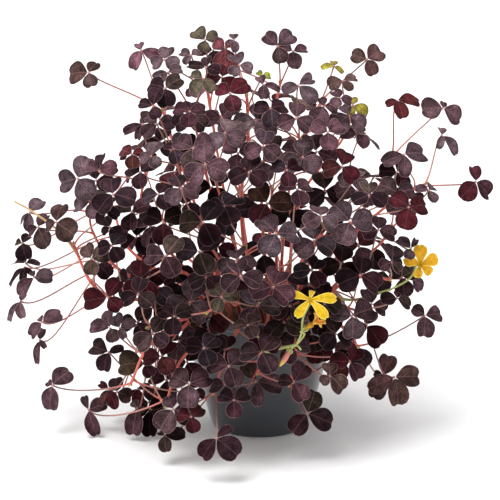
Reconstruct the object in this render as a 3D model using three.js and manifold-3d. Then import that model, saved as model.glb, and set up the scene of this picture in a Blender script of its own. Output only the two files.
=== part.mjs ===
import * as THREE from "three";
import Module from "manifold-3d";

// Pot, in millimetres
const POT_HEIGHT = 91;
const POT_BASE_RADIUS = 34.5;
const POT_NECK_RADIUS = 58;
const POT_RIM_RADIUS = 60.5;
const POT_RIM_DEPTH = 6;
const POT_WALL = 2.2;
const POT_FLOOR = 3;
const POT_SIDES = 30;
const POT_EDGE = 1;
const RIM_STEP = 0.8;

// Soil
const SOIL_LEVEL = 79;
const SOIL_GAP = 0.4;
const SOIL_FACET = 0.3;
const SOIL_SIDES = 16;
const SOIL_BUMP = 1.6;
const SOIL_RINGS = [0.78, 0.5, 0.25];
const SOIL_SEED = 90210;
const HOLE_CLEARANCE = 0.5;
const HOLE_SIDES = 4;
const HOLE_BELOW = 1;
const HOLE_ABOVE = 4;
const ROOT_DEPTH = 68;
const ROOT_TOP = 86;

// Viewing geometry that ties the plant to the pixels of the photograph
const VIEW_ELEVATION = 15;
const VIEW_DISTANCE = 1600;
const MM_PER_PIXEL = 0.706;
const CENTRE_PIXEL = 250;
const VIEW_TARGET = [-7.06, 0, 128.1];

// Crown of foliage: an ellipsoid that the outermost leaves follow
const CROWN_CENTRE = [-7, 5, 150];
const CROWN_RADII = [158, 112, 128];

// Leaves
const BLADE_HALF = 0.6;
const PETIOLE_RADIUS = 0.8;
const LONG_PETIOLE = 56;
const LEAST_UNDERSIDE = 0.25;
const SHARPEST_BEND = 0.25;
const CREST_RADIUS = 55;
const CREST_HEIGHT = 105;
const CLEARANCE = 0.8;
const DEFAULT_DROOP = 14;
const DROOP_LEAST = 0.6;
const DROOP_RANGE = 0.8;
const LEAST_FOLD = 8;
const FOLD_RANGE = 22;
const SIDE_LEAN = 0.002;
const SIDE_JITTER = 0.24;
const PLAIN_BELOW_LENGTH = 14;
const GROUND_CLEARANCE = 3.5;
const NODE_SPACING = 24;
const NODE_SHOOTS = 4;
const SHOOT_SPACING = 2.6;
const NODES_PER_STEM = 5;
const STEM_STEP = 32;
const STEM_TAPER = 0.15;
const STEM_SIDES = 4;
const BARE_SIDES = 3;
const STALK_SIDES = 5;
const BUD_SIDES = 6;
const STEM_END = 1;
const FIRST_SHOOT = 1;
const FREE_ABOVE_RIM = 3;
const FREE_OUTSIDE_RIM = 4;

// Space that blades, petioles and stems keep for themselves
const BLADE_SPOTS = [[0.3, 0], [0.54, -0.3], [0.54, 0.3], [0.84, -0.26], [0.84, 0.26]];
const SPOT_BALL = 0.17;
const HUB_BALL = 0.14;
const BALL_SPACING = 2.5;
const PETIOLE_MARGIN = 0.4;
const STEM_MARGIN = 0.3;
const FREE_AT_STEM = 4.5;
const FREE_AT_BLADE = 3;

// Choice of the stem that a leaf hangs on
const UNDER_LEAF = 10;
const LONGEST_REACH = 95;
const SHORTEST_REACH = 22;
const SHORT_COST = 3;
const ABOVE_MARGIN = 4;
const ABOVE_COST = 4;
const CROWDING_COST = 1.5;
const CHOICES_TRIED = 8;

// Leafy stems. Each path is a list of [pixel x, pixel y, depth in mm], from low to tip.
const STEMS = [
  { name: "stem_left_far", root: [-36, -20], radius: 1.7,
    path: [[120, 300, -62], [93, 285, -66], [74, 246, -60]] },
  { name: "stem_left_node", root: [-40, -4], radius: 1.5,
    path: [[120, 270, -25], [92, 230, -30], [90, 200, -28]] },
  { name: "stem_left_star", root: [-32, 6], radius: 1.5,
    path: [[160, 240, -20], [141, 203, -40], [147, 172, -36]] },
  { name: "stem_left_back", root: [-38, 14], radius: 1.5, path: [[130, 250, 30], [112, 205, 32]] },
  { name: "stem_low_left", root: [-34, -32], radius: 1.6,
    path: [[180, 330, -72], [150, 345, -78], [131, 383, -68]] },
  { name: "stem_low_left_mid", root: [-28, -38], radius: 1.5,
    path: [[190, 318, -78], [160, 322, -84], [122, 345, -80]] },
  { name: "stem_low_left_front", root: [-20, -42], radius: 1.5,
    path: [[205, 335, -78], [180, 362, -82], [166, 405, -76]] },
  { name: "stem_upper_left_a", root: [-24, 16], radius: 1.5, path: [[190, 190, 10], [163, 112, 4]] },
  { name: "stem_upper_left_b", root: [-16, 8], radius: 1.5, path: [[210, 190, -12], [192, 112, -16]] },
  { name: "stem_upper_left_c", root: [-22, -6], radius: 1.4, path: [[196, 220, -40], [176, 160, -50]] },
  { name: "stem_top_a", root: [-10, 14], radius: 1.4, path: [[222, 180, 0], [208, 92, 2]] },
  { name: "stem_top_b", root: [-4, 0], radius: 1.8,
    path: [[243, 235, -12], [242, 185, -14], [248, 140, -14], [247, 98, -12]] },
  { name: "stem_top_c", root: [6, 10], radius: 1.4, path: [[262, 180, 6], [280, 84, 8]] },
  { name: "stem_top_d", root: [12, 18], radius: 1.4, path: [[280, 190, 18], [306, 130, 20], [322, 100, 16]] },
  { name: "stem_upper_right_a", root: [20, 12], radius: 1.5,
    path: [[300, 200, 4], [342, 140, 0], [350, 122, 0]] },
  { name: "stem_upper_right_b", root: [32, 14], radius: 1.7,
    path: [[340, 240, 6], [377, 190, 4], [392, 155, 2]] },
  { name: "stem_right_far", root: [38, 6], radius: 1.5,
    path: [[350, 240, -18], [395, 200, -22], [425, 184, -20]] },
  { name: "stem_right_mid", root: [40, -6], radius: 1.5,
    path: [[350, 270, -40], [378, 246, -46], [392, 228, -44]] },
  { name: "stem_right_node", root: [38, -18], radius: 1.5,
    path: [[340, 285, -66], [362, 277, -72], [392, 280, -62]] },
  { name: "stem_right_low", root: [34, -28], radius: 1.5,
    path: [[335, 305, -78], [360, 312, -80], [382, 326, -72]] },
  { name: "stem_low_right", root: [27, -36], radius: 1.5,
    path: [[315, 308, -74], [342, 326, -78], [356, 346, -74]] },
  { name: "stem_low_front_right", root: [16, -42], radius: 1.5,
    path: [[290, 325, -76], [296, 352, -77], [290, 384, -70]] },
  { name: "stem_front_right", root: [8, -38], radius: 1.5,
    path: [[268, 318, -74], [262, 338, -77], [258, 372, -70]] },
  { name: "stem_front_left", root: [-4, -42], radius: 1.5,
    path: [[240, 325, -74], [228, 348, -77], [214, 392, -68]] },
  { name: "stem_front_mid", root: [-12, -34], radius: 1.5,
    path: [[235, 305, -70], [226, 300, -92], [208, 312, -102]] },
  { name: "stem_centre_a", root: [-14, -18], radius: 1.5, path: [[225, 270, -50], [206, 240, -78]] },
  { name: "stem_centre_b", root: [2, -24], radius: 1.5, path: [[250, 280, -58], [246, 248, -88]] },
  { name: "stem_centre_c", root: [16, -24], radius: 1.5, path: [[285, 280, -58], [290, 262, -86]] },
  { name: "stem_centre_d", root: [24, -12], radius: 1.5, path: [[310, 260, -50], [322, 224, -74]] },
  { name: "stem_centre_e", root: [8, -10], radius: 1.5, path: [[270, 240, -46], [272, 190, -64]] },
  { name: "stem_centre_f", root: [-8, -12], radius: 1.4, path: [[230, 230, -44], [214, 176, -58]] },
  { name: "stem_centre_g", root: [14, 0], radius: 1.4, path: [[286, 210, -30], [300, 140, -36]] },
  { name: "stem_left_inner", root: [-26, -24], radius: 1.5, path: [[195, 280, -60], [164, 262, -84]] },
  { name: "stem_back_left", root: [-28, 28], radius: 1.5, path: [[190, 260, 60], [160, 215, 84]] },
  { name: "stem_back_mid", root: [-2, 34], radius: 1.5, path: [[246, 240, 56], [240, 190, 84]] },
  { name: "stem_back_right", root: [28, 28], radius: 1.5, path: [[310, 250, 58], [340, 210, 82]] },
  { name: "stem_back_low_left", root: [-14, 42], radius: 1.5,
    path: [[210, 300, 78], [180, 310, 100], [160, 330, 100]] },
  { name: "stem_back_low_right", root: [16, 42], radius: 1.5,
    path: [[290, 300, 78], [320, 310, 100], [345, 330, 98]] },
];

// A leafless stalk left on the far left stem
const BARE_STALK = { stem: "stem_left_far", path: [[62, 234, -56], [30, 210, -46], [14.5, 201.5, -42]] };
const BARE_RADIUS = 0.9;
const BARE_START = 0.3;

// Flowers. Each faces [right, up, toward the viewer].
// Petals are given by picture angle and share of the length.
const PETAL_TUBE = 6;
const PETAL_STALK = 1.1;
const CALYX_GAP = 0.4;
const CALYX_RADIUS = 1.3;
const FLOWERS = [
  {
    name: "flower_front",
    at: [309.9, 300, -118],
    facing: [0, 0.3, 0.95],
    length: 16,
    droop: -12,
    fold: 10,
    turns: [2, 76, 163, 233, 310],
    shares: [1.1, 0.62, 0.86, 0.95, 1.06],
  },
  {
    name: "flower_right",
    at: [419.9, 264.5, -60],
    facing: [0.1, -0.12, 0.98],
    length: 13.4,
    droop: -16,
    fold: 10,
    turns: [24, 92, 157, 255, 323],
    shares: [0.98, 1.05, 0.92, 0.7, 0.76],
  },
  {
    name: "flower_wilted",
    at: [311, 325, -112],
    facing: [0.72, 0.5, 0.45],
    length: 10,
    droop: -60,
    fold: 30,
    turns: [10, 82, 154, 226, 298],
    shares: [1, 0.75, 0.95, 0.7, 0.85],
  },
];
const BUD = { from: [290.3, 350.4, -99], to: [279.8, 366.4, -103] };
const BUD_RADII = [0.8, 1.7, 1.9, 1.4, 0.5];

// Green flower stalks: the main stalk's root and path, then side stalks as paths in pixels and depth
const FLOWER_STALKS = [
  {
    name: "flower_stalk_front",
    root: [8, -29],
    path: [[256, 322, -76], [264, 350, -86], [281, 348, -96], [297, 345, -102]],
    sides: [
      { path: [[296, 345.5, -102], [301.5, 333, -108], [303, 318, -112]], end: "flower_front" },
      { path: [[296, 345.5, -102], [304.5, 334, -106]], end: "flower_wilted" },
      { path: [[294, 345.5, -101], [292.2, 347.8, -99.6]], end: "bud" },
      { path: [[297, 345, -102], [301.2, 350, -103]], end: null },
    ],
  },
  {
    name: "flower_stalk_right",
    root: [31, -12],
    path: [[352, 300, -46], [390, 290, -48]],
    sides: [{ path: [[389, 290.5, -48], [410, 278, -47]], end: "flower_right" }],
  },
];
const STALK_RADIUS = 1.2;
const SIDE_STALK_RADIUS = 0.85;

// Leaves whose leaflets are read one by one, by region:
// [hub pixel x, hub pixel y, leaflets, lean, sink in mm].
// A leaflet is [picture angle, length in pixels, share of the full width].
// The share is left out where it is 1.
const READ_LEAVES = [
  // Upper left
  [88.5, 72.5, [[177, 21], [60, 14], [-80, 16]], 20, 0],
  [141, 50, [[240, 22, 0.8], [-18, 24, 0.6], [110, 8]], 25, 0],
  [153, 106, [[76, 20], [165, 15, 0.9], [-70, 15]], 20, 0],
  [157, 124, [[8, 18], [-144, 20], [135, 14]], 20, 8],
  [143, 124, [[197, 22], [-115, 18], [60, 14]], 25, 18],
  [151, 156, [[75, 16], [190, 12], [-55, 14]], 25, 0],
  [132, 154, [[-88, 15], [20, 12], [150, 12]], 35, 10],
  [99, 171, [[20, 20], [88, 19, 0.5], [150, 14, 0.7]], 25, 6],
  [164.5, 59.5, [[80, 14], [197, 15], [-20, 16]], 25, 0],
  [168, 72, [[190, 17], [-125, 15], [20, 15]], 25, 8],
  [191, 55, [[155, 12], [-130, 12], [30, 10]], 30, 4],
  // Top
  [204.9, 40, [[133, 15], [25, 15], [-100, 13]], 25, 0],
  [234, 40, [[95, 7], [-82, 13], [200, 8]], 35, 0],
  [225, 47, [[-88, 27], [150, 13], [40, 8]], 15, 12],
  [206, 67.5, [[165, 20, 0.8], [-15, 15], [90, 12]], 30, 2],
  [203, 78, [[-132, 19], [-48, 19, 0.9], [155, 14, 0.8]], 30, 4],
  [239, 65, [[-14, 15], [108, 13], [232, 14]], 30, 2],
  [230, 93.4, [[33, 22], [-76, 19], [155, 15]], 20, 0],
  [262, 76, [[130, 7], [4, 9], [-110, 7]], 25, 10],
  [263, 84.5, [[-86, 16], [112, 10], [-14, 19, 0.7]], 30, 0],
  [278, 46, [[135, 18], [42, 21], [-78, 18]], 15, 0],
  [293, 51, [[-84, 20, 0.9], [8, 15], [163, 18]], 30, 6],
  [298.5, 85, [[28, 17, 0.8], [199, 18, 0.8], [-46, 26]], 25, 0],
  [189.5, 111, [[162, 17, 0.8], [14, 17, 0.8], [-95, 17]], 30, 0],
  [173.8, 148.3, [[-75, 17], [58, 19], [150, 10]], 25, 6],
  [270.5, 108, [[-80, 21], [165, 17], [22, 17]], 30, 4],
  [324, 106, [[243, 21], [110, 10], [-12, 15]], 30, 4],
  [225, 132.5, [[220, 21], [-24, 23], [65, 16]], 35, 0],
  // Upper right
  [367, 59, [[160, 17], [35, 18], [-62, 18]], 15, 0],
  [343, 80.5, [[195, 17], [18, 15, 0.8], [-50, 14]], 35, 0],
  [334, 66, [[185, 14, 0.7], [-35, 12, 0.7], [90, 6]], 40, 8],
  [353, 105, [[-25, 18], [-110, 12], [95, 9]], 30, 12],
  [349.5, 115, [[-145, 25], [-35, 21], [120, 13]], 25, 0],
  [357, 134, [[-55, 17], [178, 18], [60, 10]], 30, 8],
  [397, 100, [[-160, 13, 0.9], [2, 24, 0.6], [-68, 20]], 35, 0],
  [443, 108, [[180, 23], [-28, 22], [80, 7]], 25, 0],
  [442, 135, [[-50, 25, 0.9], [-105, 16, 0.8], [90, 8]], 30, 6],
  [404, 154, [[-162, 25], [12, 23], [-85, 24]], 30, 0],
  [476, 181.5, [[92, 16, 0.8], [-130, 23], [-35, 20]], 15, 0],
  // Left
  [29.5, 212, [[57, 18], [220, 16, 0.35], [-98, 20, 0.8]], 25, 0],
  [38, 227, [[62, 16], [-68, 23], [203, 13]], 25, 4],
  [22, 243, [[-76, 19], [170, 7], [55, 11]], 25, 0],
  [56, 222, [[74, 20], [-34, 25], [200, 13]], 20, 6],
  [106, 208, [[-33, 17], [240, 18, 0.9], [75, 12]], 30, 0],
  [110, 227, [[-38, 19], [125, 13], [210, 11]], 30, 6],
  [25.5, 263, [[175, 15, 0.5], [2, 16, 0.4], [95, 6]], 45, 0],
  [24, 267, [[-97, 16], [222, 25, 0.3], [-38, 14, 0.6]], 20, 8],
  [34, 277, [[2, 20, 0.9], [232, 25, 0.7], [110, 6]], 25, 2],
  [20, 301, [[-86, 18], [232, 24, 0.5], [62, 9]], 25, 0],
  [42, 322, [[32, 22], [222, 20, 0.8], [120, 6]], 25, 0],
  [39.7, 340, [[256, 25, 0.55], [308, 11, 0.8], [85, 12, 0.6]], 25, 2],
  [52, 385, [[48, 23], [257, 26, 0.85], [150, 6]], 20, 0],
  [107.7, 297.5, [[187, 25], [58, 22], [-42, 19]], 10, 0],
  [141, 279, [[95, 20, 0.9], [222, 23], [-57, 25]], 15, 0],
  [91, 258.5, [[118, 15], [25, 21], [266, 17]], 15, 0],
  [150, 226, [[-42, 19], [256, 22], [142, 17]], 25, 12],
  [98, 263, [[-48, 19], [80, 8], [200, 8]], 25, 8],
  // Right
  [378.3, 229.8, [[86, 14], [196, 17], [-16, 20]], 25, 4],
  [411, 248.5, [[142, 17, 0.8], [58, 12, 0.5], [250, 12]], 25, 12],
  [391.8, 262.2, [[78, 18], [200, 14], [-40, 14]], 25, 4],
  [360.4, 275, [[200, 27], [78, 19], [-28, 25]], 20, 0],
  [402, 277, [[-78, 21], [150, 13], [30, 14]], 20, 10],
  [412, 275, [[-55, 19, 0.8], [160, 10], [50, 10]], 30, 18],
  [397, 298, [[182, 17], [-26, 17, 0.9], [85, 6]], 35, 0],
  [425, 315.5, [[-89, 23], [143, 15], [8, 18, 0.8]], 20, 0],
  [352.4, 315.5, [[-86, 25], [168, 23], [22, 22]], 20, 0],
  [367, 325, [[-50, 26], [200, 14], [75, 15]], 20, 6],
  [350, 351, [[-34, 25], [215, 15], [100, 14]], 25, 2],
  [330, 376, [[-38, 21], [90, 13], [215, 12]], 20, -20],
  [394.4, 377, [[3, 28, 0.8], [-78, 31], [203, 31, 0.8]], 15, 0],
  [383, 376, [[72, 22], [248, 25, 0.8], [160, 10]], 10, 14],
  // Lower left
  [119.5, 328, [[112, 14], [20, 19], [-60, 13]], 25, 0],
  [110, 328, [[172, 22], [106, 19, 0.8], [-70, 15]], 25, 8],
  [108.4, 352, [[255, 21], [160, 18], [14, 17, 0.7]], 25, 0],
  [145, 364, [[180, 28], [70, 13], [-60, 15]], 20, 4],
  [153, 334, [[60, 20], [213, 23], [-35, 18]], 20, 0],
  [109, 389, [[-70, 21], [235, 20, 0.8], [150, 12, 0.5]], 25, 0],
  [88.5, 410, [[-72, 28, 0.55], [25, 19], [112, 14, 0.5]], 25, 0],
  [138, 388, [[270, 20], [12, 13, 0.7], [220, 20, 0.35]], 25, 6],
  [137, 408, [[258, 29, 0.85], [-20, 8], [120, 8]], 15, -20],
  [150, 409, [[-92, 29, 0.9], [200, 15], [40, 14]], 15, 10],
  [173, 409, [[234, 26], [-18, 25], [112, 14]], 20, 0],
  [164, 435.5, [[8, 22, 0.8], [-82, 17], [140, 6]], 30, 0],
  // Over the pot
  [216.2, 437.8, [[-36, 29], [229, 26, 0.75], [38, 19, 0.6]], 20, -36],
  [307, 413.5, [[-20, 28], [232, 25, 0.9], [68, 24]], 10, 0],
  [294, 382, [[58, 21], [-60, 22], [170, 16]], 20, 6],
  [256, 381, [[-12, 28], [-85, 26, 0.7], [120, 20]], 20, 4],
];

// Other leaves seen:
// [hub pixel x, hub pixel y, heading of one leaflet, leaflet length in mm, lean, sink in mm]
const SEEN_LEAVES = [
  // Upper part
  [77.5, 178.5, 190, 17, 10, 0],
  [213, 50, 40, 13, 45, 8],
  [190, 116, -30, 14, 20, 16],
  [262, 161, -85, 15.5, 40, 0],
  [303, 157, 85, 14, 10, 0],
  [316.5, 151.5, -15, 16.5, 25, 10],
  [256, 120, -45, 17, 30, 8],
  [280, 149, 130, 14, 40, 12],
  [193, 148, 150, 15.5, 25, 2],
  [189, 150, -140, 13, 20, 14],
  [340, 98, 120, 9, 40, 6],
  [429, 190, -60, 10, 45, -8],
  [397.5, 193, 20, 15.5, 25, 0],
  [409, 203, 15, 13, 20, 10],
  [409, 207, -100, 15.5, 25, 2],
  [355, 178, 75, 12, 35, 0],
  [357, 190, 180, 15.5, 45, 10],
  [369, 195, 200, 13, 40, 2],
  [391, 197, 185, 15, 45, 16],
  // Left
  [90, 202, 190, 14, 40, 4],
  [113, 194, -10, 16, 30, 10],
  [158.5, 194, -50, 12.5, 35, 0],
  [163, 222, -90, 15.5, 20, 4],
  [150, 270, 80, 14, 30, 10],
  // Centre
  [205, 164, -20, 16.5, 15, 0],
  [193, 164, 125, 14, 20, 8],
  [181, 188, 110, 13.5, 30, 2],
  [224, 206, 175, 16, 45, 0],
  [203, 222, 180, 17, 20, 8],
  [232, 212, -110, 17, 20, 12],
  [267, 203, 125, 16.5, 20, 6],
  [297.5, 189, -75, 13, 40, 0],
  [276, 233, -115, 17, 25, 0],
  [314, 240.5, -145, 15.5, 25, 0],
  [321, 216, 200, 13, 40, 4],
  [350, 221.5, 130, 16.5, 20, 0],
  [328, 229, -60, 14, 20, 10],
  [199, 251.5, 50, 16.5, 15, 0],
  [236.5, 260, 90, 14, 45, 4],
  [165.5, 255.5, 55, 15.5, 15, 4],
  [238, 153, -100, 12.5, 20, 14],
  [249, 172, 200, 14, 30, 10],
  [190, 302, 75, 17, 15, 0],
  [221.5, 297, 130, 11, 25, 4],
  [240.5, 275.5, -15, 15, 35, 4],
  [257.5, 305.5, 120, 16.5, 15, 0],
  [273.5, 286.5, -40, 16.5, 35, 4],
  [309, 285, 20, 15.5, 30, 16],
  [293, 346.5, 130, 12.5, 30, 12],
  [316, 347.5, -95, 12, 30, 6],
  [210.5, 315, -40, 15.5, 25, 8],
  [179, 341, -100, 14.5, 20, 4],
  [225, 350, 80, 12.5, 20, 8],
  [264, 340, 95, 12.5, 20, 6],
  [248, 325, 45, 11, 45, 10],
  // Second layer
  [137, 322, -60, 13, 20, 10],
  [136, 237, 200, 15, 20, 10],
  [325, 190, 100, 16, 20, 10],
  [257, 254, 40, 15, 20, 14],
  [96, 180, -20, 14, 20, 12],
  [222, 118, -60, 15, 30, 14],
  [296, 118, 200, 13, 25, 12],
  [132, 212, 150, 14, 25, 14],
  [328, 132, 30, 13, 25, 12],
  [341, 263, 80, 15, 25, 14],
  [336, 334, -20, 14, 20, 14],
  [165, 88, 160, 14, 20, 12],
  [187, 362, 60, 15, 20, 14],
  [342, 166, 190, 14, 25, 14],
  [149, 402, -160, 13, 20, 6],
  [161, 356, -60, 14, 20, 14],
  [222, 77, 70, 12, 25, 18],
  [183, 205, -40, 14, 20, 14],
  [206, 277, 200, 13, 20, 12],
  [397, 172, -60, 13, 25, 14],
  [290, 211, 80, 14, 20, 16],
  [117, 392, 220, 12, 20, 10],
  [257, 146, 200, 13, 20, 16],
  [359, 246, 170, 14, 20, 14],
  [372, 304, -20, 13, 20, 14],
  // Lower part
  [350, 362, -60, 14, 20, 6],
  [191, 417, -75, 11, 20, 4],
  [384, 270, 130, 16.5, 10, 8],
  [335, 358, -80, 16.5, 20, 8],
  [166, 380, -80, 14, 20, 8],
  [189, 384, 150, 16.5, 25, 4],
  [200, 387, -90, 9, 30, 10],
  [229, 366, 170, 15.5, 30, 6],
  [261.5, 352, -60, 16, 30, 2],
  [234, 400, -90, 12.5, 30, -20],
  [225, 385, -60, 12.5, 30, -10],
  // Darker leaves between the others
  [284, 322, 100, 14, 25, 8],
  [306, 334, 40, 13, 25, 12],
  [272, 333, 200, 12, 25, 12],
  [327, 320, 150, 13, 25, 12],
  [296, 306, 200, 14, 25, 22],
  [212, 335, 60, 13, 25, 12],
  [244, 290, 20, 14, 25, 22],
  [318, 300, -30, 13, 25, 20],
  [312, 270, 60, 13, 25, 12],
  [218, 246, -20, 12, 25, 12],
  [212, 187, -60, 14, 30, 8],
  [160, 142, 200, 13, 25, 8],
  [140, 172, -90, 12, 30, 10],
  [281, 170, -80, 12, 30, 8],
  [112, 246, -60, 12, 25, 8],
  [190, 330, 20, 13, 25, 10],
  [204, 348, -70, 13, 25, 8],
  [155, 289, 200, 14, 25, 6],
  [170, 298, 60, 14, 25, 8],
  [153, 308, -30, 13, 25, 8],
  [174, 316, 150, 13, 25, 8],
  [186, 283, 20, 13, 25, 12],
  [138, 294, 80, 13, 25, 10],
  [128, 282, -100, 13, 25, 12],
  [176, 270, 100, 13, 25, 12],
];

// Leaves of the hidden side, spread over the rear of the crown by rule
const REAR_LEAVES = 30;
const REAR_LENGTH = [15, 19];
const REAR_SEED = 7321;
const REAR_SPREAD = 1.15;
const REAR_LEAST = 0.25;
const REAR_CENTRE = [-9, 12, 148];
const REAR_RADII = [102, 104, 102];
const REAR_SCALES = [0.94, 0.88, 1, 0.82, 0.76, 0.7, 0.62, 0.54];
const SEEN_SEED = 4711;
const GOLDEN_ANGLE = 137.50776;

// Depth shifts and extra tilts tried in turn until a leaf stands clear
const DEPTH_SHIFTS = [0, 4, 8, -4, 12, -8, 16, -12, 20, -16, 25, 30, -20, 35, 40, -25, 46, 52, -30, 60];
const NUDGES = [[0, 0], [6, 0], [-6, 0], [0, 6], [0, -6]];
const HANGING_DEPTH = -88;
const HANGING_BELOW = 100;
const HANGING_WITHIN = 72;
const BOWS = [0.32, 0.5, 0.15];

// Blade outline of one leaflet, as fractions of its length: [along, across].
// Small leaves and hidden ones have a plainer one.
const LEAFLET_OUTLINE = [[0.42, -0.48], [0.94, -0.36], [0.94, 0.36], [0.42, 0.48]];
const PLAIN_OUTLINE = [[0.55, -0.52], [1.02, 0], [0.55, 0.52]];
const PLAIN_FROM_SINK = 2;
const PETAL_OUTLINE = [[0.5, -0.2], [0.92, -0.27], [1, 0], [0.92, 0.27], [0.5, 0.2]];
const LEAFLET_TURNS = [0, 120, 240];
const LEAFLET_LEAST = 5;
const LEAFLET_MOST = 21;
const LEAFLET_SPREAD = 50;
const LEAFLET_PARTING = 0.95;
const LEAFLET_MID = [0.5, 0];
const LEAFLET_JOIN = 0.13;

const radians = (degrees) => (degrees * Math.PI) / 180;
const inDegrees = (angle) => (angle * 180) / Math.PI;
const add = (a, b) => [a[0] + b[0], a[1] + b[1], a[2] + b[2]];
const sub = (a, b) => [a[0] - b[0], a[1] - b[1], a[2] - b[2]];
const mul = (a, s) => [a[0] * s, a[1] * s, a[2] * s];
const dot = (a, b) => a[0] * b[0] + a[1] * b[1] + a[2] * b[2];
const cross = (a, b) => [a[1] * b[2] - a[2] * b[1], a[2] * b[0] - a[0] * b[2], a[0] * b[1] - a[1] * b[0]];
const size = (a) => Math.sqrt(dot(a, a));
const unit = (a) => mul(a, 1 / size(a));
const mix = (a, b, t) => add(mul(a, 1 - t), mul(b, t));

// Vector v carried by the smallest turn that takes direction a to direction b
function turned(v, a, b) {
  const sum = add(a, b);
  const slid = sub(v, mul(sum, dot(sum, v) / (1 + dot(a, b))));
  return add(slid, mul(b, 2 * dot(a, v)));
}

// Seeded draw between 0 and 1
function seeded(seed) {
  let state = seed;
  return () => {
    state = (state * 16807) % 2147483647;
    return state / 2147483647;
  };
}

// Line of sight
const SIN_VIEW = Math.sin(radians(VIEW_ELEVATION));
const COS_VIEW = Math.cos(radians(VIEW_ELEVATION));
const VIEW_RIGHT = [1, 0, 0];
const VIEW_UP = [0, SIN_VIEW, COS_VIEW];
const VIEW_FORWARD = [0, COS_VIEW, -SIN_VIEW];
const VIEW_ORIGIN = add(VIEW_TARGET, mul(VIEW_FORWARD, -VIEW_DISTANCE));

function sightLine(x, y) {
  const across = mul(VIEW_RIGHT, (x - CENTRE_PIXEL) * MM_PER_PIXEL);
  const upward = mul(VIEW_UP, (CENTRE_PIXEL - y) * MM_PER_PIXEL);
  return add(mul(VIEW_FORWARD, VIEW_DISTANCE), add(across, upward));
}

// Point seen at a pixel, at the given depth along +Y
function seenAt(x, y, depth) {
  const ray = sightLine(x, y);
  const t = (depth - VIEW_ORIGIN[1]) / ray[1];
  return add(VIEW_ORIGIN, mul(ray, t));
}

// Depth at which the line of sight first meets the crown, or passes nearest to it
function crownDepth(x, y) {
  const ray = sightLine(x, y);
  const from = sub(VIEW_ORIGIN, CROWN_CENTRE);
  const r = ray.map((v, i) => v / CROWN_RADII[i]);
  const f = from.map((v, i) => v / CROWN_RADII[i]);
  const a = dot(r, r);
  const b = dot(r, f);
  const c = dot(f, f) - 1;
  const root = Math.sqrt(Math.max(0, b * b - a * c));
  return VIEW_ORIGIN[1] + (ray[1] * (-b - root)) / a;
}

// Smooth curve through points, sampled at about the given spacing
function smoothPath(points, spacing) {
  const tangents = points.map((p, i) => {
    const before = points[Math.max(0, i - 1)];
    const after = points[Math.min(points.length - 1, i + 1)];
    return unit(sub(after, before));
  });
  const samples = [points[0]];
  for (let i = 0; i + 1 < points.length; i += 1) {
    const span = size(sub(points[i + 1], points[i]));
    const steps = Math.max(1, Math.round(span / spacing));
    for (let s = 1; s <= steps; s += 1) {
      const t = s / steps;
      const t2 = t * t;
      const t3 = t2 * t;
      const start = add(mul(points[i], 2 * t3 - 3 * t2 + 1), mul(tangents[i], span * (t3 - 2 * t2 + t)));
      const end = add(mul(points[i + 1], 3 * t2 - 2 * t3), mul(tangents[i + 1], span * (t3 - t2)));
      samples.push(add(start, end));
    }
  }
  return samples;
}

function bezier(p, count) {
  const samples = [];
  for (let i = 0; i <= count; i += 1) {
    const t = i / count;
    const s = 1 - t;
    const head = add(mul(p[0], s * s * s), mul(p[1], 3 * s * s * t));
    const tail = add(mul(p[2], 3 * s * t * t), mul(p[3], t * t * t));
    samples.push(add(head, tail));
  }
  return samples;
}

// Space already taken, as balls: [x, y, z, radius, owner]
const taken = [];

function potRadiusAt(z) {
  if (z > POT_HEIGHT - POT_RIM_DEPTH) return POT_RIM_RADIUS;
  return POT_BASE_RADIUS + ((POT_NECK_RADIUS - POT_BASE_RADIUS) * z) / (POT_HEIGHT - POT_RIM_DEPTH);
}

// Whether a ball stands clear of the ground, the pot and the soil
function clearOfPot(ball) {
  if (ball[2] < GROUND_CLEARANCE) return false;
  if (ball[2] > POT_HEIGHT + ball[3] + CLEARANCE) return true;
  return Math.hypot(ball[0], ball[1]) > potRadiusAt(ball[2]) + ball[3] + CLEARANCE;
}

function clearOfTaken(balls, owner) {
  for (const ball of balls) {
    for (const other of taken) {
      if (owner !== null && other[4] === owner) continue;
      const reach = ball[3] + other[3] + CLEARANCE;
      const x = ball[0] - other[0];
      const y = ball[1] - other[1];
      const z = ball[2] - other[2];
      if (x * x + y * y + z * z < reach * reach) return false;
    }
  }
  return true;
}

function take(balls, owner) {
  for (const ball of balls) taken.push([ball[0], ball[1], ball[2], ball[3], owner]);
}

// Directions of the leaflets of a leaf, or of the petals of a flower
function leafletAxes(leaf) {
  const side = cross(leaf.normal, leaf.heading);
  const droop = radians(leaf.droop);
  const turns = leaf.turns ?? LEAFLET_TURNS;
  return turns.map((turn, k) => {
    const flat = add(mul(leaf.heading, Math.cos(radians(turn))), mul(side, Math.sin(radians(turn))));
    const along = sub(mul(flat, Math.cos(droop)), mul(leaf.normal, Math.sin(droop)));
    const across = cross(leaf.normal, flat);
    const length = leaf.length * (leaf.shares ? leaf.shares[k] : 1);
    return { along, across, face: cross(along, across), length, width: leaf.widths ? leaf.widths[k] : 1 };
  });
}

// Directions in the plane of a leaf, halfway between each leaflet and the one before it
function leafletPartings(leaf) {
  const side = cross(leaf.normal, leaf.heading);
  const turns = leaf.turns ?? LEAFLET_TURNS;
  return turns.map((turn, k) => {
    const gap = (turn - turns[(k + turns.length - 1) % turns.length] + 360) % 360;
    const middle = radians(turn - gap / 2);
    return add(mul(leaf.heading, Math.cos(middle)), mul(side, Math.sin(middle)));
  });
}

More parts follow.
